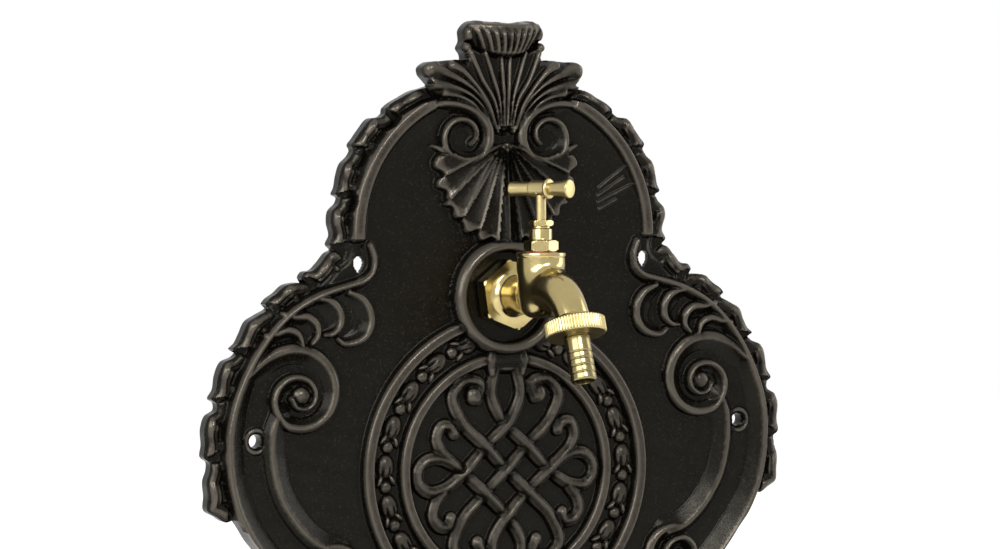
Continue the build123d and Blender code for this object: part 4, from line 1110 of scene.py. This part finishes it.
for side, name in ((1, "right"), (-1, "left")):
    tube_at = (side * screw_hole[0], 0, screw_hole[1])
    piece(turned("screw_tube_" + name, soften(tube, 0.4, closed=True), tube_at, (0, 1, 0), 48, ring=True),
          plain_iron)

# %% [markdown]
# ## The tap's casting
#
# Barrel, neck and spout of the tap are one casting, and they flow into each other with soft fillets. A
# grid of two parameters can't give a branching shape, and a boolean leaves hard seams. So this piece is a
# field: the distance to each simple form, blended where two are near. Its skin is found with one point in
# every cell that the surface crosses, moved along the field's slope until it lies on the surface.

# %% The tap as a field
tap_y = -61.4
tap_foot, upright, outward = (0, tap_y, 0), (0, 0, 1), (0, -1, 0)
barrel_radius, barrel_taper, barrel_round, barrel_middle, barrel_half, barrel_top = 14.7, 1.8, 8, 14, 25, 27.4
neck_radius, neck_z, neck_middle, neck_half = 10.6, 1.5, -42, 18
spout_centre, spout_bend, spout_level = (-73.617, -27.254), 34.0, 6.746
spout_radius, spout_taper = 12.2, 2.0
outlet_axis = np.array([0, -0.34202, -0.939693])
outlet_at = np.array([0, -105.566, -15.625])


def blended(a, b, reach):
    """The smaller of two distances, less a parabola where they are within reach of each other."""
    near = above(reach - np.abs(a - b)) / reach
    return np.minimum(a, b) - near**2 * reach / 4


def tap_field(p):
    """Distance to barrel, neck and spout, blended: below zero inside the brass."""
    x, y, z = p[..., 0], p[..., 1], p[..., 2]
    r = np.hypot(x, y - tap_y)
    wide = barrel_radius - barrel_taper * ease((18 - z) / 20)
    qr, qz = r - (wide - barrel_round), np.abs(z - barrel_middle) - (barrel_half - barrel_round)
    corner = np.hypot(above(qr), above(qz))
    barrel = corner + np.minimum(np.maximum(qr, qz), 0) - barrel_round
    neck = np.maximum(np.hypot(x, z - neck_z) - neck_radius, np.abs(y - neck_middle) - neck_half)
    turn = np.arctan2(spout_centre[0] - y, z - spout_centre[1])
    thick = spout_radius - spout_taper * ease(np.degrees(turn) / 60)
    bend = np.hypot(np.hypot(y - spout_centre[0], z - spout_centre[1]) - spout_bend, x) - thick
    past = (y - outlet_at[1]) * outlet_axis[1] + (z - outlet_at[2]) * outlet_axis[2]
    level = np.hypot(np.hypot(above(y - tap_y), z - spout_level), x) - spout_radius
    spout = np.maximum(np.where(y > spout_centre[0], level, np.where(turn < 2, bend, 20)), past)
    body = blended(blended(barrel, spout, 5.0), neck, 4.0)
    return np.maximum(body, z - barrel_top)


# %% Skin of a field
def skin(name, field, low, high, step):
    """The surface where a field is zero: a point per crossed cell, a quad round each crossed edge of the
    cells."""
    axes = [np.arange(a, b, step) for a, b in zip(low, high)]
    place = np.stack(np.meshgrid(*axes, indexing="ij"), -1)
    inside = field(place) < 0
    nx, ny, nz = np.array(inside.shape) - 1
    full = sum(inside[i:nx + i, j:ny + j, k:nz + k].astype(int)
               for i in (0, 1) for j in (0, 1) for k in (0, 1))
    crossed = (full > 0) & (full < 8)
    number = np.where(crossed, np.cumsum(crossed.ravel()).reshape(crossed.shape) - 1, -1)
    points = place[:-1, :-1, :-1][crossed] + step / 2
    faces = []
    for axis in range(3):
        order = (axis, (axis + 1) % 3, (axis + 2) % 3)
        cells, within = number.transpose(order), inside.transpose(order)
        start, stop = within[:-1, 1:-1, 1:-1], within[1:, 1:-1, 1:-1]
        around = np.stack([cells[:, :-1, :-1], cells[:, 1:, :-1], cells[:, 1:, 1:], cells[:, :-1, 1:]], -1)
        faces += [around[start & ~stop], around[stop & ~start][:, ::-1]]
    faces = np.vstack(faces)
    for turn in range(12):
        if turn in (3, 6):
            total, count = np.zeros_like(points), np.zeros(len(points))
            for i in range(4):
                np.add.at(total, faces[:, i], points[faces[:, (i + 1) % 4]])
                np.add.at(count, faces[:, i], 1)
            points = 0.5 * points + 0.5 * total / count[:, None]
        value = field(points)
        slope = np.stack([field(points + 0.01 * e) - field(points - 0.01 * e) for e in np.eye(3)], -1) / 0.02
        steep = np.maximum((slope**2).sum(-1), 0.3)
        points = points - np.clip(value, -step, step)[:, None] * slope / steep[:, None]
    return solid(put_mesh(name, points, faces))


piece(skin("tap_casting", tap_field, (-18, -118, -28), (18, -22, 31), 0.8), brass,
      nodes=["tap_body"], crease=50)

# %% [markdown]
# ## Flange, collar, shank and rims of the tap
#
# In the recess of the boss sits a hexagon that runs out into the neck with a hollow flare. Behind it a
# collar seats on a washer and a threaded shank goes through plate and wall. The thread is the lathe
# again, with a radius that climbs with the angle.

# %% Turned parts of the tap body
flange_half, flange_back, flange_front, flange_turn = 19.0, 14.0, 25.0, np.radians(8)
flange_bar = 23.5


def flange_shape(r, angle, s):
    """The hexagon, a little turned, with the corners at both ends turned off on a cone."""
    cone = 20.4 + 1.7 * np.minimum(flange_front - s, s - flange_back + 0.6)
    return np.where(r == flange_bar, np.minimum(hexagon(flange_half)(r, angle - flange_turn, s), cone), r)


flange_side = np.column_stack([np.full(16, flange_bar), np.linspace(flange_back, flange_front, 16)])
flare = smooth_line([(17.6, 25.15), (15.5, 25.5), (13.4, 26.4), (11.8, 28.2), (10.9, 30.8), (10.6, 33.5)], 16)
flange_rows = np.vstack([[(9, flange_back), (17, flange_back)], flange_side, flare, [(9, 33.6)]])
piece(turned("tap_flange", flange_rows, (0, 0, neck_z), outward, 192, flange_shape, ring=True), brass,
      crease=22)
collar = [(0, 12.6), (15, 12.6), (15, 14.2), (0, 14.2)]
piece(turned("tap_collar", soften(collar, 0.5), (0, 0, 0), outward, 96), turned_brass)
shank_rows = np.column_stack([np.r_[0, 9.4, np.full(150, 10.48), 10.48, 0],
                              np.r_[-14, -14, np.linspace(-13.4, 12, 150), 13, 13]])
thread_pitch = 1.814


def thread(r, angle, s):
    """A V thread: the radius falls and rises once a pitch, and climbs one pitch in a turn."""
    phase = np.abs(np.mod(s / thread_pitch - angle / (2 * np.pi), 1) - 0.5) * 2
    return np.where((r > 10) & (s < 12), r - 0.95 * (1 - phase), r)


piece(turned("tap_shank", shank_rows, (0, 0, 0), outward, 64, thread), turned_brass)
lip = [(8.6, 24.6), (14.2, 24.6), (15.1, 25.6), (15.1, 28.2), (8.6, 28.2)]
piece(turned("barrel_lip", soften(lip, 0.8, closed=True), tap_foot, upright, 128, ring=True), brass,
      crease=30)
nozzle = [(0, -8), (9.6, -8), (10.6, -6.5), (13.2, -5.6), (13.2, 0.6), (7.2, 0.6), (7.2, -4), (0, -4)]
piece(turned("spout_outlet", soften(nozzle, 0.5), outlet_at, outlet_axis, 96), brass, crease=30)

# %% [markdown]
# ## Valve head and handle
#
# The bonnet is a hexagon with a round neck, the gland nut a thin hexagon over it, and the spindle rises
# through both to a cross barrel with two flared arms. In the photograph the handle stands a little
# turned. A nut is often a six-sided cylinder with a bevel. Here it is turned from a wide bar whose radius
# is held inside a hexagon and a cone, so its corners are cut in an arc, as a lathe leaves them.


# %% Bonnet, gland nut and spindle
bar_radius = 99.0


def nut_rows(bottom, top, count=10):
    """Rows up a hexagon, closer together at its two chamfered ends."""
    heights = bottom + (top - bottom) * ease(np.linspace(0, 1, count))
    return np.column_stack([np.full(count, bar_radius), heights])


def nut_shape(half_flats, bottom, top, ends=1.0):
    """A hexagon whose corners are cut at both ends by a cone, about as on a real nut."""
    def shape(r, angle, s):
        """The wide bar held inside hexagon and cone; other rows keep their radius."""
        cone = half_flats + ends * 0.25 + 1.9 * np.minimum(top - s, s - bottom)
        return np.where(r == bar_radius, np.minimum(hexagon(half_flats)(r, angle, s), cone), r)
    return shape


bonnet_low, bonnet_high, gland_low, gland_high = 29, 35.4, 44.05, 47.5
bonnet_neck = [(8.4, 35.4), (7.5, 35.6), (6.9, 36.3), (6.9, 42.3), (5.6, 42.7), (5.6, 44), (0, 44)]
bonnet_rows = np.vstack([[(0, bonnet_low)], nut_rows(bonnet_low, bonnet_high), soften(bonnet_neck, 0.35)])
bonnet_shape = nut_shape(9, bonnet_low, bonnet_high)
piece(turned("bonnet_head", bonnet_rows, tap_foot, upright, 144, bonnet_shape), brass,
      nodes=["bonnet"], crease=25)
gland_rows = np.vstack([[(0, gland_low)], nut_rows(gland_low, gland_high, 8), [(0, gland_high)]])
gland_shape = nut_shape(6.5, gland_low, gland_high, 0.6)
piece(turned("gland_hexagon", gland_rows, tap_foot, upright, 144, gland_shape), brass,
      nodes=["gland_nut"], crease=25)
spindle_rows = [(0, 47), (3.3, 47), (3.3, 67), (0, 67)]
piece(turned("spindle_stem", soften(spindle_rows, 0.3), tap_foot, upright, 64), turned_brass,
      "handle", crease=30)

# %% Cross barrel and arms
handle_z, handle_turn = 66.2, np.radians(-58.4)
handle_axis = np.array([np.cos(handle_turn), np.sin(handle_turn), 0])
handle_at = (0, tap_y, handle_z)
hub_rows = [(0, -6.8), (4.6, -6.8), (5.0, -6.3), (5.0, 4.4), (6.2, 5.0), (6.4, 6.0), (5.6, 7.0), (0, 7.2)]
piece(turned("handle_barrel", soften(hub_rows, 0.5), handle_at, handle_axis, 96), turned_brass,
      "handle", ["handle_hub"], crease=30)
for side, radii in ((1, (3.8, 4.2, 4.9, 5.7)), (-1, (4.2, 4.25, 4.3, 4.5))):
    arm_way = smooth_line(np.column_stack([radii, (6, 10.5, 15.5, 20.4)]), 14)
    arm_rows = np.vstack([[(0, 6)], arm_way, [(radii[-1] - 0.5, 20.9), (0, 20.9)]])
    name = "handle_arm_" + ("near" if side > 0 else "far")
    piece(turned(name, soften(arm_rows, 0.25), handle_at, handle_axis * side, 96), turned_brass,
          "handle", ["handle_arms"] if side > 0 else [], crease=30)

# %% [markdown]
# ## Hose union
#
# A knurled ring screws onto the outlet and holds a barbed tail for a garden hose. The knurl is sixty
# flutes: the radius dips with a raised cosine of the angle. A bump would be lighter, but the flutes show
# on the ring's outline. The barbs are small cones in the profile.

# %% Ring and tail
flutes, ring_radius_outside, ring_half = 60, 18.2, 4.7


def knurl(r, angle, s):
    """Sixty shallow flutes round the outside, fading at both chamfered ends."""
    fade = ease((4.4 - np.abs(s)) / 0.8)
    return np.where(r > 17, r - 0.55 * fade * (0.5 + 0.5 * np.cos(flutes * angle)) ** 1.5, r)


ring_back = [(13.5, -ring_half), (17.2, -ring_half), (ring_radius_outside, -3.9)]
ring_side = np.column_stack([np.full(6, ring_radius_outside), np.linspace(-3.6, 3.6, 6)])
ring_front = [(ring_radius_outside, 3.9), (17.2, ring_half), (7.5, ring_half), (7.5, 3.0), (13.5, 3.0)]
ring_rows = np.vstack([soften(ring_back, 0.3), ring_side, soften(ring_front, 0.3)])
piece(turned("union_ring", ring_rows, outlet_at, outlet_axis, 600, knurl, ring=True), turned_brass,
      "union", ["union_nut"], crease=35)
tail_end, tail_radius, barb_pitch = 32.7, 7.65, 4.2
barbs = np.array([(tail_radius + rise, 15 + barb_pitch * k + step)
                  for k in range(4) for rise, step in ((-0.45, 0), (-0.45, 0.5), (0.1, 1.0), (0, 3.9))])
tail_collar = [(5.4, 1.2), (12.4, 1.2), (12.4, 2.8), (7.2, 2.8), (7.2, 5.6)]
tail_plain = [(tail_radius, 6.2), (tail_radius, 14.6)]
tail_mouth = [(tail_radius - 0.4, tail_end - 0.4), (6.6, tail_end), (5.4, tail_end)]
tail_rows = soften(np.vstack([tail_collar, tail_plain, barbs, tail_mouth]), 0.25, closed=True)
# The tail takes the darker copy of the brass, a painted shade.
piece(turned("hose_tail_barbed", tail_rows, outlet_at, outlet_axis, 96, ring=True), shaded_brass,
      "tail", ["hose_tail"], crease=30)

# %% [markdown]
# ## Nodes kept from the CAD model
#
# Basin, fixings, waste and the small parts inside the tap already have their right shape, so they stay
# and only get their finish.

# %% Finishes on kept nodes
kept_finish = {
    "basin": plain_iron, "basin_bolts": steel, "basin_washers": steel, "basin_nuts": steel,
    "waste_strainer": brass, "waste_locknut": turned_brass, "waste_seal": rubber, "tap_backnut": turned_brass,
    "wall_washer": fibre, "bonnet_gasket": fibre, "gland_packing": packing, "union_washer": rubber,
    "jumper": turned_brass, "jumper_washer": rubber, "jumper_nut": turned_brass, "spindle": turned_brass,
    "handle_pin": brass,
}
for node, finish in kept_finish.items():
    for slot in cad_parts[node].material_slots:
        slot.material = finish
print("kept nodes", len(kept_finish))

# %% [markdown]
# ## Light and background
#
# The photograph is a studio picture on white. The world is white where the camera, a polished metal or
# glass looks at it, and a plain grey room for everything else; large soft lamps stand left, right and
# above. A picture of a room wrapped round the scene is the usual light for metal, but plain white shows a
# finish as it is written, and the floor does the same and still keeps the shadow.


# %% World
def viewing(wire):
    """1 for a ray from the camera, off polished metal or through glass, more where two of these hold,
    else 0."""
    path = wire.node("LightPath").socket.node
    kinds = ("Is Camera Ray", "Is Glossy Ray", "Is Transmission Ray")
    return sum(Wire(wire.tree, path.outputs[kind]) for kind in kinds)


world = bpy.data.worlds.new("studio")
bpy.context.scene.world = world
world.use_nodes = True
sky = Wire(world.node_tree)
world.node_tree.nodes.clear()
room_level = 0.3
looked_at = viewing(sky)
strength = looked_at.math("MINIMUM", looked_at, 1.0) * (1 - room_level) + room_level
backdrop = sky.node("Background", sockets={"Color": (1, 1, 1, 1), "Strength": strength})
end = world.node_tree.nodes.new("ShaderNodeOutputWorld")
world.node_tree.links.new(backdrop.socket, end.inputs["Surface"])
print("world nodes", len(world.node_tree.nodes))


# %% Lamps
def softbox(name, at, aim, size, power):
    """A rectangular area lamp at a place in metres, turned to face another."""
    lamp = bpy.data.lights.new(name, "AREA")
    lamp.shape, lamp.size, lamp.size_y, lamp.energy = "RECTANGLE", size[0], size[1], power
    made = bpy.data.objects.new(name, lamp)
    z = np.asarray(at, float) - aim
    z /= np.linalg.norm(z)
    x = np.cross((0, 0, 1), z)
    x /= np.linalg.norm(x)
    facing = np.eye(4)
    facing[:3] = np.column_stack([x, np.cross(z, x), z, at])
    made.matrix_world = Matrix(facing.tolist())
    bpy.context.scene.collection.objects.link(made)
    print(name, power, "W")


middle = np.array([0, -0.03, -0.02])
softbox("lamp_left", (-1.7, -1.15, 0.75), middle, (1.8, 1.2), 39)
softbox("lamp_right", (2.0, -0.35, 0.6), middle, (0.9, 1.6), 14)
softbox("lamp_top", (-0.2, -1.75, 1.05), middle, (0.8, 0.5), 26)

# %% Floor
floor_finish, wire, surface = finish_tree("floor_pale")
mottle = noise(wire.node("TexCoord", out=3), 6.0, 3.0, 0.5)
pale = mottle.between(0.2, 0.8).blend((0.80, 0.80, 0.79, 1), (0.83, 0.83, 0.82, 1))
glow = viewing(wire).between(0.0, 1.0).blend((0, 0, 0, 1), (1, 1, 1, 1))
surface(base_color=pale, roughness=0.9, emission_color=glow, emission_strength=0.75)
floor_reach, floor_z = 3000, cad_box[0][2] / MM - 1
floor_square = np.array([(-1, -1), (1, -1), (1, 1), (-1, 1)]) * floor_reach
floor_points = np.column_stack([floor_square, np.full(4, floor_z)])
floor_mesh = put_mesh("floor", floor_points, np.array([[0, 1, 2, 3]]))
floor_mesh.materials.append(floor_finish)
floor = bpy.data.objects.new("floor", floor_mesh)
bpy.context.scene.collection.objects.link(floor)
print("floor at", floor_z, "mm")
